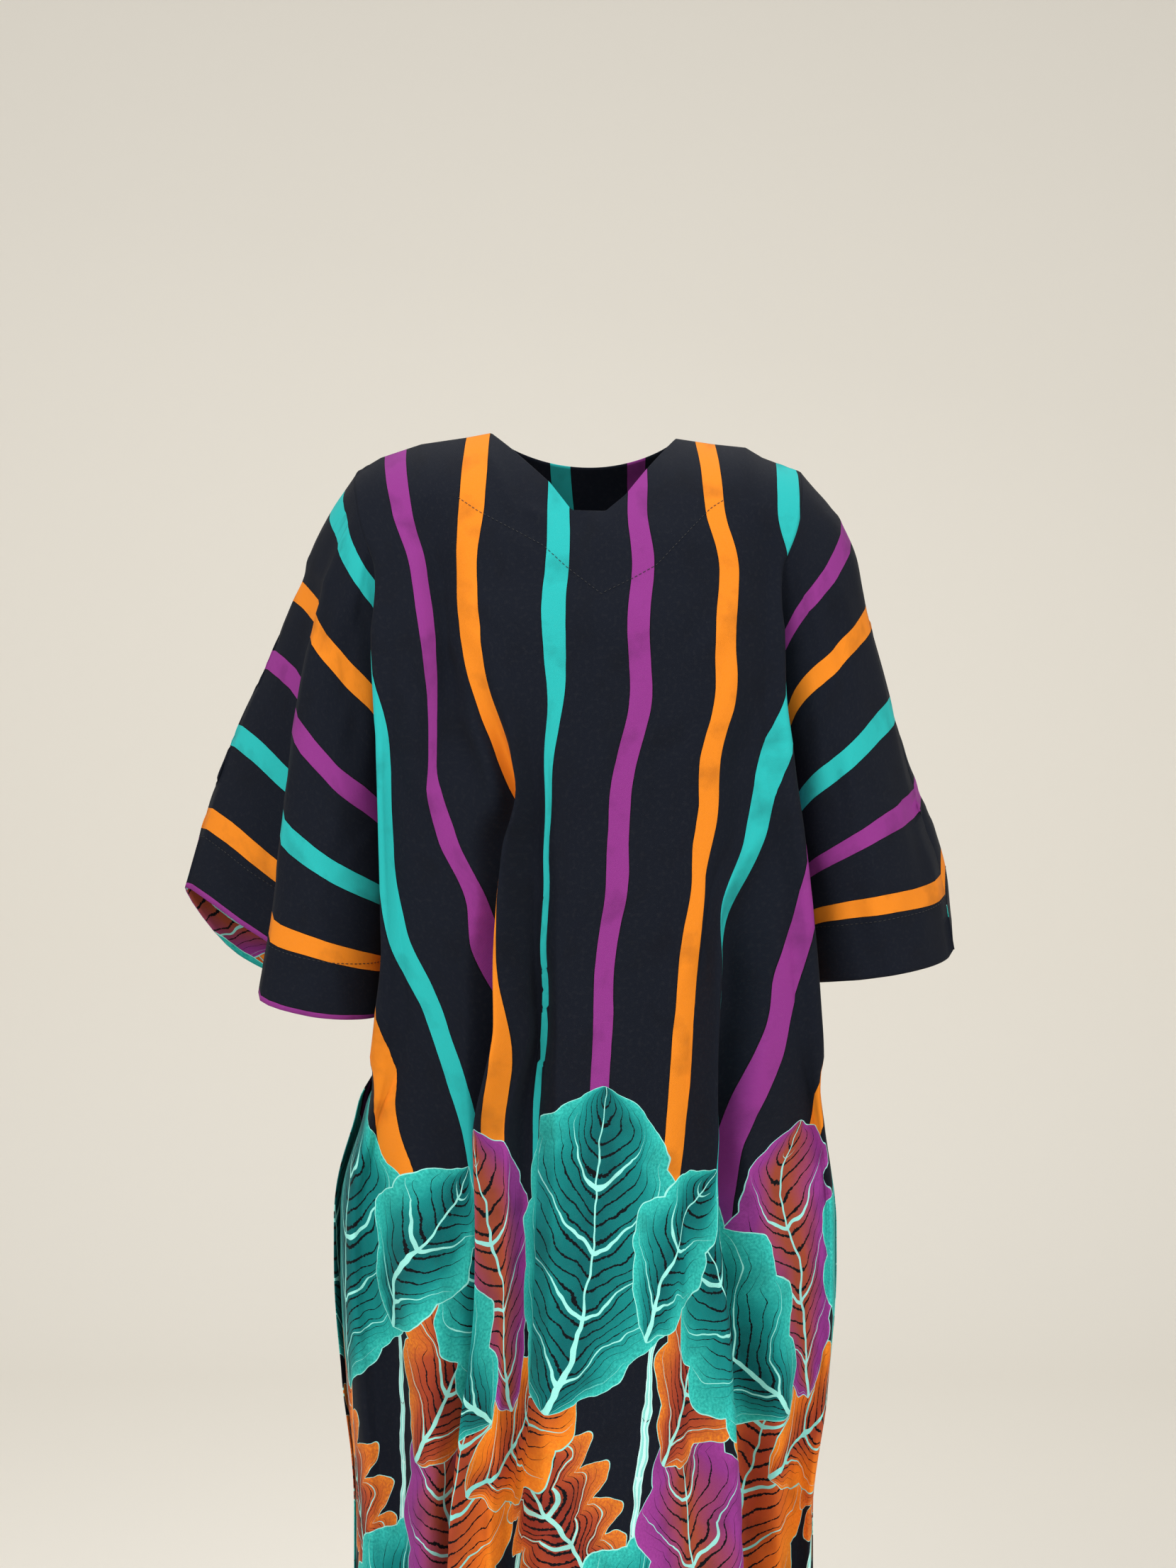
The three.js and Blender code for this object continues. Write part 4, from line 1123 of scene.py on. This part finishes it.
def linear(code: str) -> tuple[float, float, float, float]:
    """Turns an sRGB hex colour to linear light."""
    channels = [int(code[k:k + 2], 16) / 255 for k in (1, 3, 5)]
    return (*(c / 12.92 if c <= 0.04045 else ((c + 0.055) / 1.055) ** 2.4 for c in channels), 1.0)


def add_node(tree: bpy.types.NodeTree, kind: str, settings: dict, inputs: dict) -> bpy.types.Node:
    """Adds a node with its settings, its values and its links.

    Args:
        tree: the node tree.
        kind: the node's type.
        settings: the node's own properties.
        inputs: a value or another node's output for each input socket.

    Returns:
        The node.
    """
    node = tree.nodes.new(kind)
    for name, value in settings.items():
        setattr(node, name, value)
    for key, value in inputs.items():
        if isinstance(value, bpy.types.NodeSocket):
            tree.links.new(value, node.inputs[key])
        else:
            node.inputs[key].default_value = value
    return node


def new_material(name: str) -> bpy.types.Material:
    """Makes a material whose node tree is empty."""
    material = bpy.data.materials.new(name)
    material.use_nodes = True
    material.node_tree.nodes.clear()
    return material


def follow(tree: bpy.types.NodeTree, sockets: dict, steps: tuple) -> dict:
    """Wires a recipe of sums, a step for each row.

    Args:
        tree: the node tree.
        sockets: the sockets known by name, to which each step's result is added.
        steps: rows of a name, an operation and its sources, by name or value. PAINT mixes colours.

    Returns:
        The sockets.
    """
    for name, operation, *sources in steps:
        found = [sockets.get(s, s) if isinstance(s, str) else s for s in sources]
        if operation == "PAINT":
            settings = {"data_type": "RGBA", "clamp_factor": True}
            node = add_node(tree, "ShaderNodeMix", settings, dict(zip((0, 6, 7), found)))
            sockets[name] = node.outputs[2]
        else:
            node = add_node(tree, "ShaderNodeMath", {"operation": operation}, dict(enumerate(found)))
            sockets[name] = node.outputs[0]
    return sockets


INK = linear("#0e1015")
BLACK_GROUND = "#131721"


@dataclass(frozen=True)
class LeafInk:
    """The colours that one kind of leaf is printed in: its rim, its body, its heart and its veins."""

    rim: str
    body: str
    heart: str
    vein: str


TEAL_LEAF = LeafInk("#3fd0c4", "#17908d", "#0c6466", "#9ff0e6")
ORANGE_LEAF = LeafInk("#f79228", "#e2711c", "#a8472c", "#8ee6df")
PURPLE_LEAF = LeafInk("#a2409a", "#8a3583", "#a04a34", "#9fe9e2")
RUST_LEAF = LeafInk("#f08a26", "#b24d2b", "#8f3527", "#9fe6dc")
AQUA_BLADE = LeafInk("#a5ede5", "#8fe0d8", "#7fd8cf", "#c9f7f1")


@dataclass(frozen=True)
class Leaf:
    """One leaf of the print: where it lies on the repeat, in metres, and how it is drawn."""

    ink: LeafInk
    across: float
    down: float
    turn: float
    length: float
    width: float
    bend: float
    teeth: float
    tooth: float


# A free scatter of plain lobed and toothed leaves, stems and blades, back ones first. The repeat is
# six stripes across and 0.44 m down, each row moved on by half a repeat.
LEAF_REPEAT = (0.462, 0.44)
LEAVES = (
    Leaf(AQUA_BLADE, 0.098, 0.885, 4, 0.400, 0.009, 0.030, 1, 0.0),
    Leaf(AQUA_BLADE, -0.060, 0.975, 24, 0.230, 0.009, -0.050, 1, 0.0),
    Leaf(ORANGE_LEAF, -0.152, 0.912, 14, 0.290, 0.195, 0.040, 5, 0.16),
    Leaf(RUST_LEAF, 0.010, 0.905, -36, 0.225, 0.140, 0.050, 7, 0.42),
    Leaf(TEAL_LEAF, 0.066, 1.020, 48, 0.250, 0.170, -0.040, 4, 0.18),
    Leaf(PURPLE_LEAF, 0.185, 0.925, -18, 0.225, 0.165, 0.045, 4, 0.20),
    Leaf(ORANGE_LEAF, -0.060, 0.845, 58, 0.190, 0.125, -0.035, 4, 0.18),
    Leaf(PURPLE_LEAF, -0.108, 0.715, -14, 0.250, 0.150, 0.035, 4, 0.16),
    Leaf(RUST_LEAF, 0.172, 0.772, 26, 0.230, 0.150, -0.045, 5, 0.18),
    Leaf(TEAL_LEAF, -0.212, 0.748, -46, 0.265, 0.185, 0.050, 5, 0.17),
    Leaf(TEAL_LEAF, 0.022, 0.695, 10, 0.275, 0.215, -0.055, 5, 0.15),
    Leaf(TEAL_LEAF, 0.136, 0.700, 34, 0.170, 0.110, 0.030, 3, 0.18),
)

# How a leaf's outline goes: how far its broadest place lies towards its base, and how full its sides
# are. Then how wide its lines are drawn, in metres.
LEAF_TAPER, LEAF_FULLNESS = 1.08, 0.72
OUTLINE_WIDTH, VEIN_WIDTH, HATCH_WIDTH = 0.0011, 0.0021, 0.0022

# How a leaf is drawn, from its place round its own middle: t runs from its base to its tip, and r
# from its midrib to its edge.
LEAF_STEPS = (
    ("row", "SUBTRACT", "v", "down"), ("row", "DIVIDE", "row", LEAF_REPEAT[1]), ("row", "ROUND", "row"),
    ("below", "GREATER_THAN", "row", -0.5),
    ("dv", "MULTIPLY", "row", LEAF_REPEAT[1]), ("dv", "ADD", "dv", "down"), ("dv", "SUBTRACT", "v", "dv"),
    ("du", "MULTIPLY", "row", LEAF_REPEAT[0] / 2), ("du", "ADD", "du", "across"),
    ("du", "SUBTRACT", "u", "du"),
    ("wrap", "DIVIDE", "du", LEAF_REPEAT[0]), ("wrap", "ROUND", "wrap"),
    ("wrap", "MULTIPLY", "wrap", LEAF_REPEAT[0]), ("du", "SUBTRACT", "du", "wrap"),
    ("sin", "SINE", "turn"), ("cos", "COSINE", "turn"),
    ("a", "MULTIPLY", "du", "sin"), ("b", "MULTIPLY", "dv", "cos"), ("along", "SUBTRACT", "a", "b"),
    ("a", "MULTIPLY", "du", "cos"), ("b", "MULTIPLY", "dv", "sin"), ("aside", "ADD", "a", "b"),
    ("t", "DIVIDE", "along", "length"), ("t", "ADD", "t", 0.5), ("off", "SUBTRACT", "t", 0.5),
    ("off", "ABSOLUTE", "off"), ("inside", "LESS_THAN", "off", 0.5),
    ("a", "MULTIPLY", "off", "off"), ("a", "SUBTRACT", 0.25, "a"), ("a", "MULTIPLY", "a", "bend"),
    ("aside", "ADD", "aside", "a"), ("aside", "ABSOLUTE", "aside"),
    ("tc", "MAXIMUM", "t", 0.0), ("tc", "MINIMUM", "tc", 1.0), ("a", "POWER", "tc", LEAF_TAPER),
    ("a", "MULTIPLY", "a", math.pi), ("a", "SINE", "a"), ("a", "MAXIMUM", "a", 0.0001),
    ("half", "POWER", "a", LEAF_FULLNESS), ("half", "MULTIPLY", "half", "width"),
    ("half", "MULTIPLY", "half", 0.5),
    ("phase", "MULTIPLY", "tc", "teeth"), ("a", "FRACT", "phase"), ("a", "MULTIPLY", "a", math.pi),
    ("a", "SINE", "a"), ("a", "SUBTRACT", "a", 0.9), ("a", "MULTIPLY", "a", "tooth"), ("a", "ADD", "a", 1.0),
    ("half", "MULTIPLY", "half", "a"), ("r", "DIVIDE", "aside", "half"),
    ("on", "LESS_THAN", "r", 1.0), ("on", "MULTIPLY", "on", "inside"), ("on", "MULTIPLY", "on", "below"),
    ("edge", "SUBTRACT", "half", "aside"), ("outline", "LESS_THAN", "edge", OUTLINE_WIDTH),
    ("a", "SUBTRACT", "r", 0.12), ("warm", "MULTIPLY", "a", 1.9),
    ("a", "SUBTRACT", "r", 0.52), ("a", "MULTIPLY", "a", 1.9), ("a", "MAXIMUM", "a", 0.0),
    ("pale", "MULTIPLY", "a", "grain"),
    ("a", "POWER", "r", 1.35), ("a", "MULTIPLY", "a", "fan"), ("s", "SUBTRACT", "t", "a"),
    ("s", "MULTIPLY", "s", "teeth"),
    ("a", "FRACT", "s"), ("a", "SUBTRACT", "a", 0.5), ("a", "ABSOLUTE", "a"),
    ("a", "MULTIPLY", "a", "length"), ("vein", "DIVIDE", "a", "teeth"),
    ("b", "SUBTRACT", 0.9, "t"), ("b", "MULTIPLY", "b", 8.0), ("b", "MAXIMUM", "b", 0.0),
    ("b", "MINIMUM", "b", 1.0), ("fine", "SUBTRACT", 0.95, "r"), ("fine", "MULTIPLY", "fine", "b"),
    ("a", "MULTIPLY", "fine", VEIN_WIDTH), ("vein", "LESS_THAN", "vein", "a"),
    ("b", "MULTIPLY", "s", 4.0), ("b", "FRACT", "b"), ("b", "SUBTRACT", "b", 0.5), ("b", "ABSOLUTE", "b"),
    ("b", "MULTIPLY", "b", "length"), ("b", "DIVIDE", "b", "teeth"), ("b", "MULTIPLY", "b", 0.25),
    ("a", "SUBTRACT", 0.86, "r"), ("a", "MULTIPLY", "a", "grain"), ("a", "MULTIPLY", "a", HATCH_WIDTH),
    ("hatch", "LESS_THAN", "b", "a"),
    ("a", "SUBTRACT", 1.15, "t"), ("a", "MULTIPLY", "a", VEIN_WIDTH), ("rib", "LESS_THAN", "aside", "a"),
    ("vein", "MAXIMUM", "vein", "rib"),
    ("paint", "PAINT", "warm", "heart", "body"), ("paint", "PAINT", "pale", "paint", "rims"),
    ("paint", "PAINT", "hatch", "paint", "ink"), ("paint", "PAINT", "vein", "paint", "veins"),
    ("paint", "PAINT", "outline", "paint", "veins"), ("paint", "PAINT", "on", "under", "paint"),
)
LEAF_SHAPE = ("across", "down", "length", "width", "bend", "teeth", "tooth")
LEAF_VALUES = ("u", "v", "grain", "turn", "fan", *LEAF_SHAPE)
LEAF_COLOURS = ("under", "rims", "body", "heart", "veins", "ink")


def leaf_group() -> bpy.types.NodeTree:
    """Makes the node group that prints one leaf over the colour under it."""
    tree = bpy.data.node_groups.new("printed leaf", "ShaderNodeTree")
    for name in LEAF_VALUES:
        tree.interface.new_socket(name=name, in_out="INPUT", socket_type="NodeSocketFloat")
    for name in LEAF_COLOURS:
        tree.interface.new_socket(name=name, in_out="INPUT", socket_type="NodeSocketColor")
    tree.interface.new_socket(name="paint", in_out="OUTPUT", socket_type="NodeSocketColor")
    source = add_node(tree, "NodeGroupInput", {}, {})
    sockets = {name: source.outputs[name] for name in LEAF_VALUES + LEAF_COLOURS}
    follow(tree, sockets, LEAF_STEPS)
    add_node(tree, "NodeGroupOutput", {}, {"paint": sockets["paint"]})
    return tree


@dataclass(frozen=True)
class WaxPrintCotton:
    """Plain-woven cotton, wax printed: crisp saturated inks on black, matt with a faint bloom.

    Its stripes are 21.5 mm wide at a pitch of 77 mm with thin dark wavering edges, and its border of
    leaves begins where the stripes end.
    """

    name: str
    leaves: bpy.types.NodeTree
    striped: bool = True
    teal: str = "#29b2b0"
    purple: str = "#8a3484"
    orange: str = "#e68421"
    stripe_half: float = 10.8 * MM
    stripe_edge: float = 0.9 * MM
    stripe_end: float = 0.735
    stripe_last: float = 0.632
    thread_spacing: float = 1.5 * MM

    def build(self) -> bpy.types.Material:
        """Makes the material from the cut's own UV map, which is in metres."""
        material = new_material(self.name)
        tree = material.node_tree
        cut = add_node(tree, "ShaderNodeUVMap", {"uv_map": "cut"}, {})
        border = add_node(tree, "ShaderNodeUVMap", {"uv_map": "border"}, {})
        waver = add_node(tree, "ShaderNodeTexNoise", {"noise_dimensions": "2D"},
                         {"Vector": cut.outputs[0], "Scale": 24.0, "Detail": 2.0})
        stipple = add_node(tree, "ShaderNodeTexNoise", {"noise_dimensions": "2D"},
                           {"Vector": cut.outputs[0], "Scale": 420.0, "Detail": 2.0})
        split = add_node(tree, "ShaderNodeSeparateXYZ", {}, {0: cut.outputs[0]})
        turned = add_node(tree, "ShaderNodeSeparateXYZ", {}, {0: border.outputs[0]})
        shift = add_node(tree, "ShaderNodeSeparateColor", {}, {0: waver.outputs["Color"]})
        sockets = {"u": split.outputs[0], "v": split.outputs[1], "border": turned.outputs[0],
                   "n1": shift.outputs[0], "n2": shift.outputs[1], "stipple": stipple.outputs[0]}
        follow(tree, sockets, (
            ("a", "SUBTRACT", "n1", 0.5), ("b", "MULTIPLY", "a", 0.016), ("leafU", "ADD", "border", "b"),
            ("a", "MULTIPLY", "a", 0.0016), ("u", "ADD", "u", "a"),
            ("a", "SUBTRACT", "n2", 0.5), ("b", "MULTIPLY", "a", 0.016), ("leafV", "ADD", "v", "b"),
            ("grain", "MULTIPLY", "stipple", 1.9), ("grain", "SUBTRACT", "grain", 0.15),
        ))
        sockets["colour"] = self.stripes(tree, sockets) if self.striped else linear(BLACK_GROUND)
        for leaf in LEAVES:
            sockets["colour"] = self.printed(tree, sockets, leaf)
        self.surface(tree, cut, sockets["colour"])
        return material

    def stripes(self, tree: bpy.types.NodeTree, sockets: dict) -> bpy.types.NodeSocket:
        """Prints the stripes, which take teal, purple and orange in turn."""
        sockets.update(ground=linear(BLACK_GROUND), ink=INK, teal=linear(self.teal),
                       purple=linear(self.purple), orange=linear(self.orange))
        follow(tree, sockets, (
            ("k", "DIVIDE", "u", STRIPE_PITCH * MM), ("k", "ADD", "k", 3.5), ("near", "ROUND", "k"),
            ("off", "SUBTRACT", "k", "near"), ("off", "ABSOLUTE", "off"),
            ("off", "MULTIPLY", "off", STRIPE_PITCH * MM),
            ("third", "FLOORED_MODULO", "near", 3.0),
            ("isPurple", "COMPARE", "third", 1.0, 0.2), ("isOrange", "COMPARE", "third", 2.0, 0.2),
            ("stripe", "PAINT", "isPurple", "teal", "purple"),
            ("stripe", "PAINT", "isOrange", "stripe", "orange"),
            ("on", "LESS_THAN", "off", self.stripe_half),
            ("inked", "GREATER_THAN", "off", self.stripe_half - self.stripe_edge),
            ("a", "LESS_THAN", "v", self.stripe_end), ("on", "MULTIPLY", "on", "a"),
            ("a", "LESS_THAN", "u", self.stripe_last), ("on", "MULTIPLY", "on", "a"),
            ("stripe", "PAINT", "inked", "stripe", "ink"), ("stripe", "PAINT", "on", "ground", "stripe"),
        ))
        return sockets["stripe"]

    def printed(self, tree: bpy.types.NodeTree, sockets: dict, leaf: Leaf) -> bpy.types.NodeSocket:
        """Prints one leaf over the colour so far."""
        values = {name: getattr(leaf, name) for name in LEAF_SHAPE}
        values.update(
            u=sockets["leafU"], v=sockets["leafV"], grain=sockets["grain"], under=sockets["colour"], ink=INK,
            turn=math.radians(leaf.turn), fan=0.46 * leaf.width / leaf.length, rims=linear(leaf.ink.rim),
            body=linear(leaf.ink.body), heart=linear(leaf.ink.heart), veins=linear(leaf.ink.vein))
        return add_node(tree, "ShaderNodeGroup", {"node_tree": self.leaves}, values).outputs[0]

    def surface(self, tree: bpy.types.NodeTree, cut: bpy.types.Node, colour: bpy.types.NodeSocket) -> None:
        """Gives the printed colour its dye mottling, its woven relief and its dry bloom."""
        # The real threads are about 0.35 mm apart; they are drawn 1.5 mm apart so that they show.
        turns = 2 * math.pi / self.thread_spacing
        split = add_node(tree, "ShaderNodeSeparateXYZ", {}, {0: cut.outputs[0]})
        slub = add_node(tree, "ShaderNodeTexNoise", {"noise_dimensions": "2D"},
                        {"Vector": cut.outputs[0], "Scale": 260.0, "Detail": 4.0})
        cloud = add_node(tree, "ShaderNodeTexNoise", {"noise_dimensions": "2D"},
                         {"Vector": cut.outputs[0], "Scale": 28.0, "Detail": 5.0})
        sockets = {"u": split.outputs[0], "v": split.outputs[1], "slub": slub.outputs[0],
                   "cloud": cloud.outputs[0], "colour": colour, "dark": linear("#101116"),
                   "pale": linear("#b9b6b0")}
        follow(tree, sockets, (
            ("a", "MULTIPLY", "u", turns), ("a", "SINE", "a"), ("b", "MULTIPLY", "v", turns),
            ("b", "SINE", "b"), ("weave", "MULTIPLY", "a", "b"), ("weave", "MULTIPLY", "weave", 0.35),
            ("relief", "ADD", "weave", "slub"),
            ("a", "SUBTRACT", "slub", 0.5), ("a", "MULTIPLY", "a", 0.035), ("a", "MAXIMUM", "a", 0.0),
            ("tone", "PAINT", "a", "colour", "pale"),
            ("a", "SUBTRACT", "cloud", 0.52), ("a", "MULTIPLY", "a", 1.1), ("a", "MAXIMUM", "a", 0.0),
            ("tone", "PAINT", "a", "tone", "dark"),
            ("rough", "MULTIPLY", "slub", 0.24), ("rough", "ADD", "rough", 0.70),
        ))
        bump = add_node(tree, "ShaderNodeBump", {}, {"Strength": 0.32, "Distance": 0.0004,
                                                     "Height": sockets["relief"]})
        shader = add_node(tree, "ShaderNodeBsdfPrincipled", {}, {
            "Base Color": sockets["tone"], "Roughness": sockets["rough"], "Normal": bump.outputs[0],
            "Sheen Weight": 0.02, "Sheen Roughness": 0.5, "Specular IOR Level": 0.09, "IOR": 1.47})
        add_node(tree, "ShaderNodeOutputMaterial", {}, {"Surface": shader.outputs[0]})


@dataclass(frozen=True)
class PolyesterThread:
    """Spun polyester sewing thread: dark, slightly glossy, with a fine twist along it."""

    colour: str = "#0d0e12"
    twist: float = 1.0 * MM

    def build(self) -> bpy.types.Material:
        """Makes the thread's material."""
        material = new_material("spun polyester thread")
        tree = material.node_tree
        place = add_node(tree, "ShaderNodeTexCoord", {}, {})
        strands = add_node(tree, "ShaderNodeTexNoise", {}, {"Vector": place.outputs["Object"],
                                                            "Scale": 1 / self.twist, "Detail": 2.0})
        sockets = {"twist": strands.outputs[0], "thread": linear(self.colour), "fluff": linear("#191b20")}
        follow(tree, sockets, (("tone", "PAINT", "twist", "thread", "fluff"),))
        bump = add_node(tree, "ShaderNodeBump", {}, {"Strength": 0.4, "Distance": 0.0002,
                                                     "Height": sockets["twist"]})
        shader = add_node(tree, "ShaderNodeBsdfPrincipled", {}, {
            "Base Color": sockets["tone"], "Roughness": 0.55, "Normal": bump.outputs[0]})
        add_node(tree, "ShaderNodeOutputMaterial", {}, {"Surface": shader.outputs[0]})
        return material


@dataclass(frozen=True)
class Lamp:
    """A soft square light: where it stands, how wide it is, in metres, and its power in watts."""

    name: str
    place: tuple[float, float, float]
    size: float
    power: float


@dataclass
class Studio:
    """The plain pale room, its soft lights and the camera."""

    floor_height: float = -1.46
    floor_reach: float = 4.0
    wall_height: float = 4.5
    corner: float = 0.8
    camera_place: tuple[float, float, float] = (0.0, -2.2, -0.308)
    lens: float = 56.83
    wall: str = "#f2eee6"
    sky: str = "#efece6"
    sky_strength: float = 0.60
    aim: tuple[float, float, float] = (0, 0, -0.45)
    lamps: tuple[Lamp, ...] = (
        Lamp("key", (-1.5, -2.4, 1.3), 1.6, 58), Lamp("fill", (1.9, -1.9, 0.3), 1.8, 26),
        Lamp("top", (0.1, 0.2, 2.0), 1.6, 22), Lamp("back", (0.5, 1.7, 1.9), 1.2, 10),
    )

    def paint(self, name: str, code: str) -> bpy.types.Material:
        """Makes a matt plaster-like paint for the room."""
        material = new_material(name)
        values = {"Base Color": linear(code), "Roughness": 0.9}
        shader = add_node(material.node_tree, "ShaderNodeBsdfPrincipled", {}, values)
        add_node(material.node_tree, "ShaderNodeOutputMaterial", {}, {"Surface": shader.outputs[0]})
        return material

    def place(self, name: str, data: bpy.types.ID, where: tuple[float, float, float]) -> bpy.types.Object:
        """Puts a light or a camera in the room."""
        obj = bpy.data.objects.new(name, data)
        obj.location = where
        bpy.context.scene.collection.objects.link(obj)
        return obj

    def build_backdrop(self) -> None:
        """Builds the floor and the far wall in one sheet, with a round corner between them."""
        bm = bmesh.new()
        bmesh.ops.create_grid(bm, x_segments=1, y_segments=1, size=self.floor_reach,
                              matrix=Matrix.Translation((0, 0, self.floor_height)))
        far = [edge for edge in bm.edges if all(vert.co.y > self.floor_reach - 0.1 for vert in edge.verts)]
        wall = bmesh.ops.extrude_edge_only(bm, edges=far)
        raised = [vert for vert in wall["geom"] if isinstance(vert, bmesh.types.BMVert)]
        bmesh.ops.translate(bm, verts=raised, vec=(0, 0, self.wall_height))
        bmesh.ops.translate(bm, verts=bm.verts, vec=(0, -0.6, 0))
        bmesh.ops.bevel(bm, geom=far, offset=self.corner, segments=12, profile=0.5, affect="EDGES",
                        material=-1)
        for face in bm.faces:
            face.smooth = True
        backdrop = as_object(bm, "backdrop", self.paint("matt backdrop paint", self.wall))

    def build(self) -> None:
        """Builds the backdrop, the lights and the camera."""
        self.build_backdrop()
        world = bpy.data.worlds.new("studio")
        world.use_nodes = True
        sky = world.node_tree.nodes["Background"]
        sky.inputs[0].default_value, sky.inputs[1].default_value = linear(self.sky), self.sky_strength
        bpy.context.scene.world = world
        for lamp in self.lamps:
            light = bpy.data.lights.new(lamp.name, "AREA")
            light.energy, light.size = lamp.power, lamp.size
            turn = (Vector(self.aim) - Vector(lamp.place)).to_track_quat("-Z", "Y")
            self.place(lamp.name, light, lamp.place).rotation_euler = turn.to_euler()
        camera = bpy.data.cameras.new("camera")
        camera.sensor_width, camera.lens = 36, self.lens
        shot = self.place("camera", camera, self.camera_place)
        shot.rotation_euler = (math.radians(90), 0, 0)
        bpy.context.scene.camera = shot
        bpy.context.scene.view_settings.view_transform = "Standard"


# How many rows of the front's grid hold the neck's stitching, and a depth clear of the cloth.
CHEST_ROWS = 70
WELL_IN_FRONT = -400
# The row of a panel's grid that the hem is sewn along, counted from the edge.
HEM_ROW = -4


def on_front(front: ClothSheet, path: Table, step: float) -> tuple[Points, Points]:
    """Drops a line drawn on the front, as seen, on to the cloth.

    Args:
        front: the front's sheet.
        path: the line, across and height.
        step: how far apart its points are, in mm.

    Returns:
        The line's points on the cloth, and the outward normals there.
    """
    columns = front.grid.shape[1]
    faces = [(r * columns + c, (r + 1) * columns + c, (r + 1) * columns + c + 1, r * columns + c + 1)
             for r in range(CHEST_ROWS) for c in range(columns - 1)]
    tree = BVHTree.FromPolygons([Vector(p) for p in front.grid.reshape(-1, 3)], faces)
    across = np.arange(path.ats[0], path.ats[-1], step)
    points, normals = [], []
    for x, z in zip(across, path.trace(across)):
        spot, normal, *_ = tree.ray_cast(Vector((x, WELL_IN_FRONT, z)), Vector((0, 1, 0)))
        if spot is not None:
            points.append(spot)
            normals.append(normal if normal.y < 0 else -normal)
    return np.array(points), np.array(normals)


def main() -> None:
    """Builds the dress and its room."""
    logging.basicConfig(level=logging.INFO)
    leaves = leaf_group()
    striped = WaxPrintCotton("wax-printed cotton, stripes and leaf border", leaves).build()
    leafy = WaxPrintCotton("wax-printed cotton, leaf border", leaves, striped=False).build()
    thread = PolyesterThread().build()
    front = Panel(Side.FRONT, "front", FRONT_CREASES, 11, (56, 34, 14, 32, 52), (-86, -16, 17, 78))
    back = Panel(Side.BACK, "back", BACK_CREASES, 12, (36, 40, 36), (-86, 78), yoke_rows=30, row_step=7.0)
    for panel in (front, back):
        LOG.info("built %s", panel.build(striped).name)
    sleeves = [Sleeve(Hand.LEFT, 13, front, back), Sleeve(Hand.RIGHT, 14, front, back)]
    for sleeve in sleeves:
        LOG.info("built %s", sleeve.build(striped).name)
    for sleeve in sleeves:
        LOG.info("built %s", sleeve.build_facing(leafy).name)
        LOG.info("built %s", POCKET.build(sleeve.hand, leafy).name)
    stitches = {
        "neck_stitches": [on_front(front.sheet, NECK_STITCH, 3.0)],
        "cuff_stitches": [sleeve.sheet.run(sleeve.rows) for sleeve in sleeves],
        "hem_stitches": [panel.sheet.run(HEM_ROW) for panel in (front, back)],
    }
    for name, runs in stitches.items():
        LOG.info("built %s", StitchRow(name).build(runs, thread).name)
    Studio().build()


if __name__ == "__main__":
    main()
